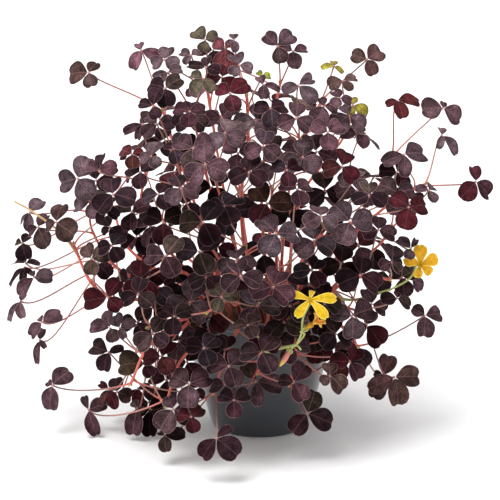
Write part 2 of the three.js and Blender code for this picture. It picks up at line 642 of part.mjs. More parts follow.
// Balls that fill the blade of a leaf
function bladeBalls(leaf) {
  const balls = [[...leaf.hub, leaf.length * HUB_BALL]];
  for (const axes of leafletAxes(leaf)) {
    for (const [a, b] of BLADE_SPOTS) {
      const lift = Math.abs(b) * Math.sin(radians(leaf.fold));
      const spread = b * axes.width * Math.cos(radians(leaf.fold));
      const offset = add(add(mul(axes.along, a), mul(axes.across, spread)), mul(axes.face, lift));
      balls.push([...add(leaf.hub, mul(offset, axes.length)), axes.length * SPOT_BALL]);
    }
  }
  return balls;
}

// Direction in which a leaf faces: from the line of sight, tilted up by the lean and to the side
function facingNormal(lean, sideLean) {
  const back = mul(VIEW_FORWARD, -1);
  const tilted = add(mul(back, Math.cos(radians(lean))), mul(VIEW_UP, Math.sin(radians(lean))));
  return unit(add(tilted, mul(VIEW_RIGHT, sideLean)));
}

// Direction in a leaf's plane that is seen at an angle in the picture
function flatDirection(normal, angle) {
  const pictured = add(mul(VIEW_RIGHT, Math.cos(radians(angle))), mul(VIEW_UP, Math.sin(radians(angle))));
  const facing = dot(VIEW_FORWARD, normal);
  const slide = Math.abs(facing) > 0.3 ? -dot(pictured, normal) / facing : 0;
  const slid = add(pictured, mul(VIEW_FORWARD, slide));
  return unit(sub(slid, mul(normal, dot(slid, normal))));
}

// Makes neighbouring leaflets narrower where they stand close together
function partLeaflets(lobes) {
  lobes.forEach((lobe, k) => {
    const after = lobes[(k + 1) % lobes.length];
    const gap = (after.turn - lobe.turn + 360) % 360;
    const spread = LEAFLET_SPREAD * (lobe.width + after.width);
    const share = Math.min(1, (LEAFLET_PARTING * gap) / spread);
    lobe.width *= share;
    after.width *= share;
  });
}

// Leaf with three leaflets read one by one
function readLeaf(hub, leaflets, normal, droop, fold) {
  const heading = flatDirection(normal, leaflets[0][0]);
  const side = cross(normal, heading);
  const scale = (MM_PER_PIXEL * dot(sub(hub, VIEW_ORIGIN), VIEW_FORWARD)) / VIEW_DISTANCE;
  const lobes = leaflets.map(([angle, pixels, share]) => {
    const flat = flatDirection(normal, angle);
    const turn = (inDegrees(Math.atan2(dot(flat, side), dot(flat, heading))) + 360) % 360;
    const along = sub(mul(flat, Math.cos(radians(droop))), mul(normal, Math.sin(radians(droop))));
    const shown = size(sub(along, mul(VIEW_FORWARD, dot(along, VIEW_FORWARD))));
    const length = Math.min(LEAFLET_MOST, Math.max(LEAFLET_LEAST, (pixels * scale) / shown));
    return { turn, length, width: share ?? 1 };
  });
  lobes.sort((p, q) => p.turn - q.turn);
  partLeaflets(lobes);
  const length = Math.max(...lobes.map((lobe) => lobe.length));
  const turns = lobes.map((lobe) => lobe.turn);
  const shares = lobes.map((lobe) => lobe.length / length);
  const widths = lobes.map((lobe) => lobe.width);
  return { hub, normal, heading, length, droop, fold, turns, shares, widths };
}

function petioleCurve(from, stemDirection, leaf, bow) {
  const reach = size(sub(leaf.hub, from));
  const outward = unit(add(mul(stemDirection, 0.5), unit(sub(leaf.hub, from))));
  const first = add(from, mul(outward, reach * bow));
  const last = sub(leaf.hub, mul(leaf.normal, reach * bow));
  return [from, first, last, leaf.hub];
}

// Points along straight segments, at about the given spacing
function alongSegments(path, spacing) {
  const points = [path[0]];
  for (let i = 0; i + 1 < path.length; i += 1) {
    const steps = Math.max(1, Math.round(size(sub(path[i + 1], path[i])) / spacing));
    for (let s = 1; s <= steps; s += 1) points.push(mix(path[i], path[i + 1], s / steps));
  }
  return points;
}

// Balls along a petiole, leaving out the end inside the stem and the end under the hub
function petioleBalls(path) {
  const balls = [];
  const end = path[path.length - 1];
  for (const point of alongSegments(path, BALL_SPACING)) {
    if (size(sub(point, path[0])) < FREE_AT_STEM) continue;
    if (size(sub(point, end)) < FREE_AT_BLADE) continue;
    balls.push([...point, PETIOLE_RADIUS + PETIOLE_MARGIN]);
  }
  return balls;
}

// Places on a stem from which petioles grow: short runs of close points, one run at each node
function stemNodes(path) {
  const nodes = [];
  let from = 0;
  let next = FIRST_SHOOT;
  let shoots = 0;
  let found = 0;
  for (let i = path.length - 1; i > 0 && found < NODES_PER_STEM; i -= 1) {
    const span = size(sub(path[i - 1], path[i]));
    const direction = unit(sub(path[i], path[i - 1]));
    while (next < from + span && found < NODES_PER_STEM) {
      const point = mix(path[i], path[i - 1], (next - from) / span);
      const above = point[2] > POT_HEIGHT + FREE_ABOVE_RIM;
      const free = above || Math.hypot(point[0], point[1]) > POT_RIM_RADIUS + FREE_OUTSIDE_RIM;
      if (free) nodes.push({ point, direction, fromTip: next, used: false });
      shoots += 1;
      next += SHOOT_SPACING;
      if (shoots < NODE_SHOOTS) continue;
      shoots = 0;
      found += 1;
      next += NODE_SPACING - NODE_SHOOTS * SHOOT_SPACING;
    }
    from += span;
  }
  return nodes;
}

function layBareStalk(path, index) {
  const tip = path[path.length - 1];
  const start = mix(tip, path[path.length - 2], BARE_START);
  const bare = [start, ...BARE_STALK.path.map((p) => seenAt(...p))];
  take(alongSegments(bare, BALL_SPACING).map((p) => [...p, BARE_RADIUS + STEM_MARGIN]), index);
  return bare;
}

// Stems, each with the nodes from which its petioles grow
function layStems() {
  return STEMS.map((stem, index) => {
    const [x, y] = stem.root;
    const points = [[x, y, ROOT_DEPTH], [x, y, ROOT_TOP]];
    const seen = stem.path.map((p) => seenAt(...p));
    points.push(...overRim(seen));
    const path = smoothPath(points, STEM_STEP);
    take(alongSegments(path, BALL_SPACING).map((p) => [...p, stem.radius + STEM_MARGIN]), index);
    const bare = stem.name === BARE_STALK.stem ? layBareStalk(path, index) : null;
    return { ...stem, index, path, bare, nodes: stemNodes(path), leaves: [] };
  });
}

// Whether a petiole leaves the underside of its leaf and has no sharp bend
function bendsGently(path, leaf) {
  const directions = [];
  for (let i = 0; i + 1 < path.length; i += 1) directions.push(unit(sub(path[i + 1], path[i])));
  if (dot(directions[directions.length - 1], leaf.normal) < LEAST_UNDERSIDE) return false;
  for (let i = 0; i + 1 < directions.length; i += 1) {
    if (dot(directions[i], directions[i + 1]) < SHARPEST_BEND) return false;
  }
  return true;
}

// Best free way to hang a leaf on one of the stems, or null
function attach(leaf, stems) {
  const under = sub(leaf.hub, mul(leaf.normal, UNDER_LEAF));
  const choices = [];
  for (const stem of stems) {
    for (const node of stem.nodes) {
      if (node.used) continue;
      const reach = size(sub(node.point, under));
      if (reach > LONGEST_REACH) continue;
      const above = Math.max(0, dot(sub(node.point, leaf.hub), leaf.normal) + ABOVE_MARGIN);
      const short = Math.max(0, SHORTEST_REACH - reach);
      const crowding = CROWDING_COST * stem.leaves.length;
      choices.push({ stem, node, cost: reach + SHORT_COST * short + ABOVE_COST * above + crowding });
    }
  }
  choices.sort((p, q) => p.cost - q.cost);
  for (const choice of choices.slice(0, CHOICES_TRIED)) {
    for (const bow of BOWS) {
      const curve = petioleCurve(choice.node.point, choice.node.direction, leaf, bow);
      const reach = size(sub(leaf.hub, curve[0]));
      const path = bezier(curve, reach > LONG_PETIOLE ? 3 : 2);
      if (!bendsGently(path, leaf)) continue;
      const balls = petioleBalls(path);
      if (!balls.every(clearOfPot)) continue;
      if (!clearOfTaken(balls, choice.stem.index)) continue;
      return { stem: choice.stem, node: choice.node, path, balls };
    }
  }
  return null;
}

// Flowers, posed, each with the short tube that stands in its calyx
function layFlowers() {
  const back = mul(VIEW_FORWARD, -1);
  const poses = {};
  for (const flower of FLOWERS) {
    const [right, up, toward] = flower.facing;
    const normal = unit(add(add(mul(VIEW_RIGHT, right), mul(VIEW_UP, up)), mul(back, toward)));
    const hub = seenAt(...flower.at);
    const heading = unit(sub(VIEW_RIGHT, mul(normal, dot(VIEW_RIGHT, normal))));
    const foot = sub(hub, mul(normal, PETAL_TUBE));
    const pose = { ...flower, hub, normal, heading, path: [foot, hub] };
    poses[flower.name] = pose;
    take(bladeBalls(pose), -2);
    take([[...foot, PETAL_STALK + 0.4]], -2);
  }
  return poses;
}

// Green stalks, each a list of paths with a radius at each point
function layFlowerStalks(flowers) {
  const budFrom = seenAt(...BUD.from);
  const budDirection = unit(sub(seenAt(...BUD.to), budFrom));
  take(alongSegments([budFrom, seenAt(...BUD.to)], 2).map((p) => [...p, 2.2]), -2);
  return FLOWER_STALKS.map((stalk) => {
    const [x, y] = stalk.root;
    const seen = stalk.path.map((p) => seenAt(...p));
    const main = smoothPath([[x, y, ROOT_DEPTH], [x, y, ROOT_TOP], ...overRim(seen)], STEM_STEP);
    const tubes = [{ path: main, radii: main.map(() => STALK_RADIUS) }];
    for (const side of stalk.sides) {
      const path = side.path.map((p) => seenAt(...p));
      if (side.end === "bud") path.push(sub(budFrom, mul(budDirection, CALYX_GAP)));
      const flower = flowers[side.end];
      if (flower) {
        path.push(sub(flower.path[0], mul(flower.normal, CALYX_GAP + 3)));
        path.push(sub(flower.path[0], mul(flower.normal, CALYX_GAP)));
      }
      const radii = path.map((p, i) => (flower && i + 1 === path.length ? CALYX_RADIUS : SIDE_STALK_RADIUS));
      tubes.push({ path, radii });
    }
    for (const tube of tubes) {
      take(alongSegments(tube.path, BALL_SPACING).map((p) => [...p, STALK_RADIUS + STEM_MARGIN]), -2);
    }
    return { ...stalk, radius: STALK_RADIUS, tubes };
  });
}

// Points of a path that leaves the pot low, led over the rim first
function overRim(seen) {
  const reach = Math.hypot(seen[0][0], seen[0][1]);
  if (seen[0][2] > CREST_HEIGHT + 8 || reach < POT_RIM_RADIUS) return seen;
  const share = CREST_RADIUS / reach;
  return [[seen[0][0] * share, seen[0][1] * share, CREST_HEIGHT], ...seen];
}

// Depth of the foremost foliage at a pixel: the crown's, or that of leaves hanging in front of the pot
function frontDepth(x, y) {
  const depth = crownDepth(x, y);
  const point = seenAt(x, y, depth);
  const hanging = point[2] < HANGING_BELOW && Math.abs(point[0]) < HANGING_WITHIN;
  return hanging ? Math.min(depth, HANGING_DEPTH) : depth;
}

// Tries places for a leaf in turn, and hangs it at the first that is clear
function settle(leaves, stems) {
  for (const leaf of leaves) {
    const blade = bladeBalls(leaf);
    if (!blade.every(clearOfPot)) continue;
    if (!clearOfTaken(blade, null)) continue;
    const found = attach(leaf, stems);
    if (found === null) continue;
    take(blade, -1);
    take(found.balls, found.stem.index);
    found.node.used = true;
    found.stem.leaves.push({ ...leaf, path: found.path });
    return;
  }
}

// Leaves seen in the photograph. A leaf is read leaflet by leaflet, or has one heading and one length.
function placeSeenLeaves(stems) {
  const draw = seeded(SEEN_SEED);
  const read = READ_LEAVES.map(([x, y, leaflets, lean, sink]) => ({ x, y, leaflets, lean, sink }));
  const other = SEEN_LEAVES.map(([x, y, angle, length, lean, sink]) => ({ x, y, angle, length, lean, sink }));
  for (const row of [...read, ...other]) {
    const fold = LEAST_FOLD + FOLD_RANGE * draw();
    const droop = DEFAULT_DROOP * (DROOP_LEAST + DROOP_RANGE * draw());
    const sideLean = SIDE_LEAN * (row.x - CENTRE_PIXEL) + SIDE_JITTER * (draw() - 0.5);
    const normal = facingNormal(row.lean, sideLean);
    const depth = frontDepth(row.x, row.y) + row.sink;
    const trials = [];
    for (const [right, down] of NUDGES) {
      for (const shift of DEPTH_SHIFTS) {
        const hub = seenAt(row.x + right, row.y + down, depth + shift);
        const flat = row.leaflets ? null : flatDirection(normal, row.angle);
        const even = { hub, normal, heading: flat, length: row.length, droop, fold };
        const leaf = row.leaflets ? readLeaf(hub, row.leaflets, normal, droop, fold) : even;
        trials.push({ ...leaf, plain: row.sink >= PLAIN_FROM_SINK || leaf.length < PLAIN_BELOW_LENGTH });
      }
    }
    settle(trials, stems);
  }
}

function placeRearLeaves(stems) {
  const draw = seeded(REAR_SEED);
  for (let i = 0; i < REAR_LEAVES; i += 1) {
    const height = 1 - (2 * (i + 0.5)) / (REAR_LEAVES * REAR_SPREAD);
    const turn = radians(i * GOLDEN_ANGLE);
    const level = Math.sqrt(1 - height * height);
    const rearward = REAR_LEAST + (1 - REAR_LEAST) * Math.abs(Math.sin(turn));
    const outward = [level * Math.cos(turn), level * rearward, height];
    const length = REAR_LENGTH[0] + (REAR_LENGTH[1] - REAR_LENGTH[0]) * draw();
    const heading = radians(360 * draw());
    const fold = LEAST_FOLD + FOLD_RANGE * draw();
    const droop = DEFAULT_DROOP * (DROOP_LEAST + DROOP_RANGE * draw());
    const jitter = [draw() - 0.5, draw() - 0.5, draw() - 0.5];
    const normal = unit(add(add(mul(outward, 0.6), [0, 0, 0.7]), mul(jitter, 0.5)));
    const flat = unit(cross(normal, [Math.cos(heading), Math.sin(heading), 0.3]));
    const trials = REAR_SCALES.map((scale) => {
      const hub = REAR_CENTRE.map((v, k) => v + outward[k] * REAR_RADII[k] * scale);
      return { hub, normal, heading: flat, length, droop, fold, plain: true };
    });
    settle(trials, stems);
  }
}

// Closed solid from vertices and triangles
function solidOf(wasm, vertices, triangles) {
  const mesh = new wasm.Mesh({
    numProp: 3,
    vertProperties: new Float32Array(vertices.flat()),
    triVerts: new Uint32Array(triangles.flat()),
  });
  return new wasm.Manifold(mesh);
}

// Rings of a tube around a path: each ring is a list of points
function tubeRings(path, radii, sides) {
  const rings = [];
  let side = null;
  for (let i = 0; i < path.length; i += 1) {
    const before = path[Math.max(0, i - 1)];
    const after = path[Math.min(path.length - 1, i + 1)];
    const direction = unit(sub(after, before));
    const guess = side === null ? (Math.abs(direction[0]) < 0.8 ? [1, 0, 0] : [0, 1, 0]) : side;
    side = unit(sub(guess, mul(direction, dot(guess, direction))));
    const other = cross(direction, side);
    const ring = [];
    for (let k = 0; k < sides; k += 1) {
      const turn = (2 * Math.PI * k) / sides;
      const offset = add(mul(side, Math.cos(turn) * radii[i]), mul(other, Math.sin(turn) * radii[i]));
      ring.push(add(path[i], offset));
    }
    rings.push(ring);
  }
  return rings;
}

function tubeSolid(wasm, path, radii, sides) {
  const rings = tubeRings(path, radii, sides);
  const vertices = rings.flat();
  const triangles = [];
  for (let i = 0; i + 1 < rings.length; i += 1) {
    for (let k = 0; k < sides; k += 1) {
      const a = i * sides + k;
      const b = i * sides + ((k + 1) % sides);
      triangles.push([a, b, b + sides], [a, b + sides, a + sides]);
    }
  }
  const last = (rings.length - 1) * sides;
  for (let k = 1; k + 1 < sides; k += 1) {
    triangles.push([0, k + 1, k], [last, last + k, last + k + 1]);
  }
  return solidOf(wasm, vertices, triangles);
}

// A lobed blade whose underside runs straight into its stalk
function lobedSolid(wasm, leaf, outline, stalkRadius) {
  const vertices = [];
  const triangles = [];
  const put = (p) => vertices.push(p) - 1;
  const lobes = leafletAxes(leaf);
  const count = lobes.length;
  const fold = radians(leaf.fold);
  const at = (axes, a, b, lift) => {
    const offset = add(mul(axes.along, a), mul(axes.across, b * axes.width * Math.cos(fold)));
    const raised = add(offset, mul(axes.face, Math.abs(b) * Math.sin(fold)));
    return add(add(leaf.hub, mul(raised, axes.length)), mul(axes.face, lift));
  };
  const between = leafletPartings(leaf);
  const top = put(add(leaf.hub, mul(leaf.normal, BLADE_HALF)));
  const joins = between.map((way) => put(add(leaf.hub, mul(way, LEAFLET_JOIN * leaf.length))));
  const under = sub(leaf.hub, mul(leaf.normal, BLADE_HALF));
  let spokes = between;
  let ring = spokes.map((spoke) => put(add(under, mul(spoke, stalkRadius))));
  lobes.forEach((axes, k) => {
    const start = joins[k];
    const end = joins[(k + 1) % count];
    const rim = [start, ...outline.map(([a, b]) => put(at(axes, a, b, 0))), end];
    const upper = put(at(axes, LEAFLET_MID[0], LEAFLET_MID[1], BLADE_HALF));
    const lower = put(at(axes, LEAFLET_MID[0], LEAFLET_MID[1], -BLADE_HALF));
    for (let i = 0; i + 1 < rim.length; i += 1) {
      triangles.push([upper, rim[i], rim[i + 1]], [lower, rim[i + 1], rim[i]]);
    }
    triangles.push([upper, end, top], [upper, top, start]);
    const near = ring[k];
    const far = ring[(k + 1) % count];
    triangles.push([lower, start, near], [lower, near, far], [lower, far, end]);
  });
  const path = [...leaf.path].reverse();
  let facing = mul(leaf.normal, -1);
  for (let i = 1; i < path.length; i += 1) {
    const next = unit(sub(path[Math.min(i + 1, path.length - 1)], path[i - 1]));
    const from = facing;
    spokes = spokes.map((spoke) => turned(spoke, from, next));
    facing = next;
    const lower = spokes.map((spoke) => put(add(path[i], mul(spoke, stalkRadius))));
    for (let k = 0; k < count; k += 1) {
      const after = (k + 1) % count;
      triangles.push([ring[k], lower[after], ring[after]], [ring[k], lower[k], lower[after]]);
    }
    ring = lower;
  }
  for (let k = 1; k + 1 < count; k += 1) triangles.push([ring[0], ring[k + 1], ring[k]]);
  return solidOf(wasm, vertices, triangles);
}

function leafSolid(wasm, leaf) {
  return lobedSolid(wasm, leaf, leaf.plain ? PLAIN_OUTLINE : LEAFLET_OUTLINE, PETIOLE_RADIUS);
}

// The stem's path, cut off just past its last leaf
function grownPath(stem) {
  const used = stem.nodes.filter((node) => node.used).map((node) => node.fromTip);
  let spare = Math.max(0, Math.min(...used) - STEM_END);
  const path = [...stem.path];
  while (spare > 0) {
    const tip = path.pop();
    const before = path[path.length - 1];
    const span = size(sub(tip, before));
    if (span > spare) path.push(mix(tip, before, spare / span));
    spare -= Math.min(span, spare);
  }
  return path;
}

function spraySolid(wasm, stem) {
  const path = grownPath(stem);
  const radii = path.map((p, i) => stem.radius * (1 - (STEM_TAPER * i) / (path.length - 1)));
  let solid = tubeSolid(wasm, path, radii, STEM_SIDES);
  if (stem.bare) solid = solid.add(tubeSolid(wasm, stem.bare, stem.bare.map(() => BARE_RADIUS), BARE_SIDES));
  for (const leaf of stem.leaves) solid = solid.add(leafSolid(wasm, leaf));
  return solid;
}

function flowerSolid(wasm, flower) {
  return lobedSolid(wasm, flower, PETAL_OUTLINE, PETAL_STALK);
}

function stalkSolid(wasm, stalk) {
  const solids = stalk.tubes.map((tube) => tubeSolid(wasm, tube.path, tube.radii, STALK_SIDES));
  return solids.reduce((whole, next) => whole.add(next));
}

function budSolid(wasm) {
  const from = seenAt(...BUD.from);
  const to = seenAt(...BUD.to);
  const last = BUD_RADII.length - 1;
  const path = BUD_RADII.map((r, i) => mix(from, to, i / last));
  return tubeSolid(wasm, path, BUD_RADII, BUD_SIDES);
}

function potGeometry() {
  const neck = POT_HEIGHT - POT_RIM_DEPTH;
  const inner = POT_NECK_RADIUS - POT_WALL;
  const profile = [
    [0, 0],
    [POT_BASE_RADIUS - POT_EDGE, 0],
    [POT_BASE_RADIUS, POT_EDGE],
    [POT_NECK_RADIUS, neck],
    [POT_RIM_RADIUS, neck + RIM_STEP],
    [POT_RIM_RADIUS, POT_HEIGHT - POT_EDGE],
    [POT_RIM_RADIUS - POT_EDGE, POT_HEIGHT],
    [inner + POT_EDGE, POT_HEIGHT],
    [inner, neck],
    [POT_BASE_RADIUS - POT_WALL, POT_FLOOR],
    [0, POT_FLOOR],
  ];
  const points = profile.map(([r, z]) => new THREE.Vector2(r, z));
  const geometry = new THREE.LatheGeometry(points, POT_SIDES);
  geometry.rotateX(Math.PI / 2);
  return geometry;
}

function soilRadiusAt(z) {
  const inner = POT_NECK_RADIUS - POT_WALL;
  const low = POT_BASE_RADIUS - POT_WALL;
  const share = (z - POT_FLOOR) / (POT_HEIGHT - POT_RIM_DEPTH - POT_FLOOR);
  return low + (inner - low) * share - SOIL_GAP - SOIL_FACET;
}

function soilSolid(wasm, stems) {
  const draw = seeded(SOIL_SEED);
  const vertices = [];
  const triangles = [];
  const ring = (radius, z, bump) => {
    const first = vertices.length;
    for (let k = 0; k < SOIL_SIDES; k += 1) {
      const turn = (2 * Math.PI * k) / SOIL_SIDES;
      vertices.push([radius * Math.cos(turn), radius * Math.sin(turn), z + bump * (draw() - 0.5) * 2]);
    }
    return first;
  };
  const bottom = vertices.push([0, 0, POT_FLOOR + SOIL_GAP]) - 1;
  const rings = [
    ring(soilRadiusAt(POT_FLOOR + SOIL_GAP), POT_FLOOR + SOIL_GAP, 0),
    ring(soilRadiusAt(SOIL_LEVEL), SOIL_LEVEL, 0),
    ...SOIL_RINGS.map((share) => ring(soilRadiusAt(SOIL_LEVEL) * share, SOIL_LEVEL, SOIL_BUMP)),
  ];
  const middle = vertices.push([0, 0, SOIL_LEVEL]) - 1;
  for (let k = 0; k < SOIL_SIDES; k += 1) {
    const next = (k + 1) % SOIL_SIDES;
    triangles.push([bottom, rings[0] + next, rings[0] + k]);
    for (let r = 0; r + 1 < rings.length; r += 1) {
      triangles.push([rings[r] + k, rings[r] + next, rings[r + 1] + next]);
      triangles.push([rings[r] + k, rings[r + 1] + next, rings[r + 1] + k]);
    }
    triangles.push([middle, rings[rings.length - 1] + k, rings[rings.length - 1] + next]);
  }
  let solid = solidOf(wasm, vertices, triangles);
  for (const stem of stems) {
    const [x, y] = stem.root;
    const path = [[x, y, ROOT_DEPTH - HOLE_BELOW], [x, y, SOIL_LEVEL + HOLE_ABOVE]];
    const radius = (stem.radius + HOLE_CLEARANCE) / Math.cos(Math.PI / HOLE_SIDES);
    solid = solid.subtract(tubeSolid(wasm, path, [radius, radius], HOLE_SIDES));
  }
  return solid;
}

// Material of each kind of piece
function finish(colour, roughness) {
  return new THREE.MeshStandardMaterial({ color: colour, roughness, metalness: 0 });
}

function meshOf(name, geometry, material) {
  const mesh = new THREE.Mesh(geometry, material);
  mesh.name = name;
  return mesh;
}

function geometryOf(solid) {
  const mesh = solid.getMesh();
  const geometry = new THREE.BufferGeometry();
  geometry.setAttribute("position", new THREE.BufferAttribute(mesh.vertProperties, 3));
  geometry.setIndex(new THREE.BufferAttribute(mesh.triVerts, 1));
  geometry.computeVertexNormals();
  return geometry;
}

async function build() {
  const wasm = await Module();
  wasm.setup();
  const stems = layStems();
  const flowers = layFlowers();
  const stalks = layFlowerStalks(flowers);
  placeSeenLeaves(stems);
  placeRearLeaves(stems);
  const plant = new THREE.Group();
  plant.name = "potted_oxalis";
  const put = (name, geometry, material) => plant.add(meshOf(name, geometry, material));
  put("pot", potGeometry(), finish(0x2d2c32, 0.45));
  put("soil", geometryOf(soilSolid(wasm, [...stems, ...stalks])), finish(0x2a1d14, 0.95));
  const leafFinish = finish(0x5f4b55, 0.6);
  for (const stem of stems) put(stem.name, geometryOf(spraySolid(wasm, stem)), leafFinish);
  const stalkFinish = finish(0xb4b478, 0.6);
  for (const stalk of stalks) put(stalk.name, geometryOf(stalkSolid(wasm, stalk)), stalkFinish);
  const petalFinish = finish(0xf5c828, 0.5);
  for (const flower of Object.values(flowers)) {
    put(flower.name, geometryOf(flowerSolid(wasm, flower)), petalFinish);
  }
  put("bud", geometryOf(budSolid(wasm)), finish(0xe8a878, 0.5));
  return plant;
}

export default await build();
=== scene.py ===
import math

import bpy
import numpy as np
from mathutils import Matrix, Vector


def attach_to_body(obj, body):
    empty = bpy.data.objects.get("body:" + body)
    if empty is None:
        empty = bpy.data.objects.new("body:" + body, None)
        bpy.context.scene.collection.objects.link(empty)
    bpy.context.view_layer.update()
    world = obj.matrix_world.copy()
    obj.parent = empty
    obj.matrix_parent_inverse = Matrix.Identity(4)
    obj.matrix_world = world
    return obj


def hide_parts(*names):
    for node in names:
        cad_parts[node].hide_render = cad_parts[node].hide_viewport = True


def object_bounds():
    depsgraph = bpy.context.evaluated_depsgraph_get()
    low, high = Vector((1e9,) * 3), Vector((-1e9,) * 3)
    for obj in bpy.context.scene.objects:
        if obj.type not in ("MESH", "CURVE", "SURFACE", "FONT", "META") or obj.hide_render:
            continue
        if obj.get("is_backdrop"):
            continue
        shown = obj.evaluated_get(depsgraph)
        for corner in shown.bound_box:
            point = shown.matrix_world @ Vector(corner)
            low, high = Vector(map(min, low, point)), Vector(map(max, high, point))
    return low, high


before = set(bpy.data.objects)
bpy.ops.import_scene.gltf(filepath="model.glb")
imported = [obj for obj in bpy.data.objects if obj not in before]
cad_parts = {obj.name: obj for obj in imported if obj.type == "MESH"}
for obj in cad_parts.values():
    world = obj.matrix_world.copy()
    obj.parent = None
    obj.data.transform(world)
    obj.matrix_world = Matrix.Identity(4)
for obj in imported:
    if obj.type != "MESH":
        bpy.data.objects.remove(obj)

CAD_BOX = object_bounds()
MM = 0.001

# Pot and soil, in millimetres like every size below
POT_HEIGHT = 91
POT_BASE_RADIUS = 34.5
POT_NECK_RADIUS = 58
POT_RIM_RADIUS = 60.5
POT_RIM_DEPTH = 6
POT_NECK_HEIGHT = POT_HEIGHT - POT_RIM_DEPTH
POT_WALL = 2.2
POT_FLOOR = 3
SOIL_LEVEL = 79
SOIL_GAP = 0.4
SOIL_BUMP = 1.6
ROOT_DEPTH = 68
ROOT_TOP = 86

# Camera
VIEW_ELEVATION = 15
VIEW_DISTANCE = 1600
MM_PER_PIXEL = 0.706
CENTRE_PIXEL = 250
VIEW_TARGET = (-7.06, 0, 128.1)

# Crown, as an ellipsoid on whose near side the leaves stand
CROWN_CENTRE = (-7, 5, 150)
CROWN_RADII = (158, 112, 128)
DEPTH_SHIFTS = (0, 4, 8, -4, 12, -8, 16, -12, 20, -16, 25, 30, -20, 35, 40, -25, 46, 52, -30, 60)
NUDGES = ((0, 0), (6, 0), (-6, 0), (0, 6), (0, -6))
HANGING_DEPTH = -88
HANGING_BELOW = 100
HANGING_WITHIN = 72
SEEN_SEED = 4711

# Leaves at the rear, spread by a rule
REAR_LEAVES = 30
REAR_SEED = 7321
REAR_SPREAD = 1.15
REAR_LEAST = 0.25
REAR_LENGTH = (15, 4)
REAR_CENTRE = (-9, 12, 148)
REAR_RADII = (102, 104, 102)
REAR_SCALES = (0.94, 0.88, 1, 0.82, 0.76, 0.7, 0.62, 0.54)
REAR_DEPTH = 20
OUTWARD_SHARE = 0.6
UPWARD_SHARE = 0.7
NORMAL_JITTER = 0.5
HEADING_RISE = 0.3
GOLDEN_ANGLE = 137.50776

# Stems and flower stalks
STEM_STEP = 32
STEM_END = 1
CREST_RADIUS = 55
CREST_HEIGHT = 105
CREST_MARGIN = 8
FIRST_SHOOT = 1
NODE_SPACING = 24
NODE_SHOOTS = 4
NODES_PER_STEM = 5
SHOOT_SPACING = 2.6
FREE_ABOVE_RIM = 3
FREE_OUTSIDE_RIM = 4
STALK_RADIUS = 1.2
SIDE_STALK_RADIUS = 0.85
STALK_APPROACH = 3
FLOWER_CALYX_REACH = 4.2
BUD_CALYX_REACH = 3.6

# Petioles, and the cost of hanging a leaf on one node or another
PETIOLE_RADIUS = 0.8
LONG_PETIOLE = 56
BOWS = (0.32, 0.5, 0.15)
STEM_PULL = 0.5
LEAST_UNDERSIDE = 0.25
SHARPEST_BEND = 0.25
UNDER_LEAF = 10
LONGEST_REACH = 95
SHORTEST_REACH = 22
SHORT_COST = 3
ABOVE_MARGIN = 4
ABOVE_COST = 4
CROWDING_COST = 1.5
CHOICES_TRIED = 8

# Pose of leaves and their leaflets; a trait has a least value and a span
DROOP = 14
DROOP_TRAIT = (0.6, 0.8)
FOLD_TRAIT = (8, 22)
SIDE_LEAN = 0.002
SIDE_JITTER = 0.24
LEAST_FACING = 0.3
LEAFLET_TURNS = (0, 120, 240)
LEAFLET_LEAST = 5
LEAFLET_MOST = 21
LEAFLET_SPREAD = 50
LEAFLET_PARTING = 0.95

# Space that is kept for each form, as balls
CLEARANCE = 0.8
GROUND_CLEARANCE = 3.5
BLADE_SPOTS = ((0.3, 0), (0.54, -0.3), (0.54, 0.3), (0.84, -0.26), (0.84, 0.26))
SPOT_BALL = 0.17
HUB_BALL = 0.14
BUD_BALL = 2.2
BUD_BALL_SPACING = 2
BALL_SPACING = 2.5
STEM_MARGIN = 0.3
PETIOLE_MARGIN = 0.4
FREE_AT_STEM = 4.5
FREE_AT_BLADE = 3
FARTHEST_BALL = 9
MOST_BALLS = 20000
LEAF_OWNER = -1
FLOWER_OWNER = -2

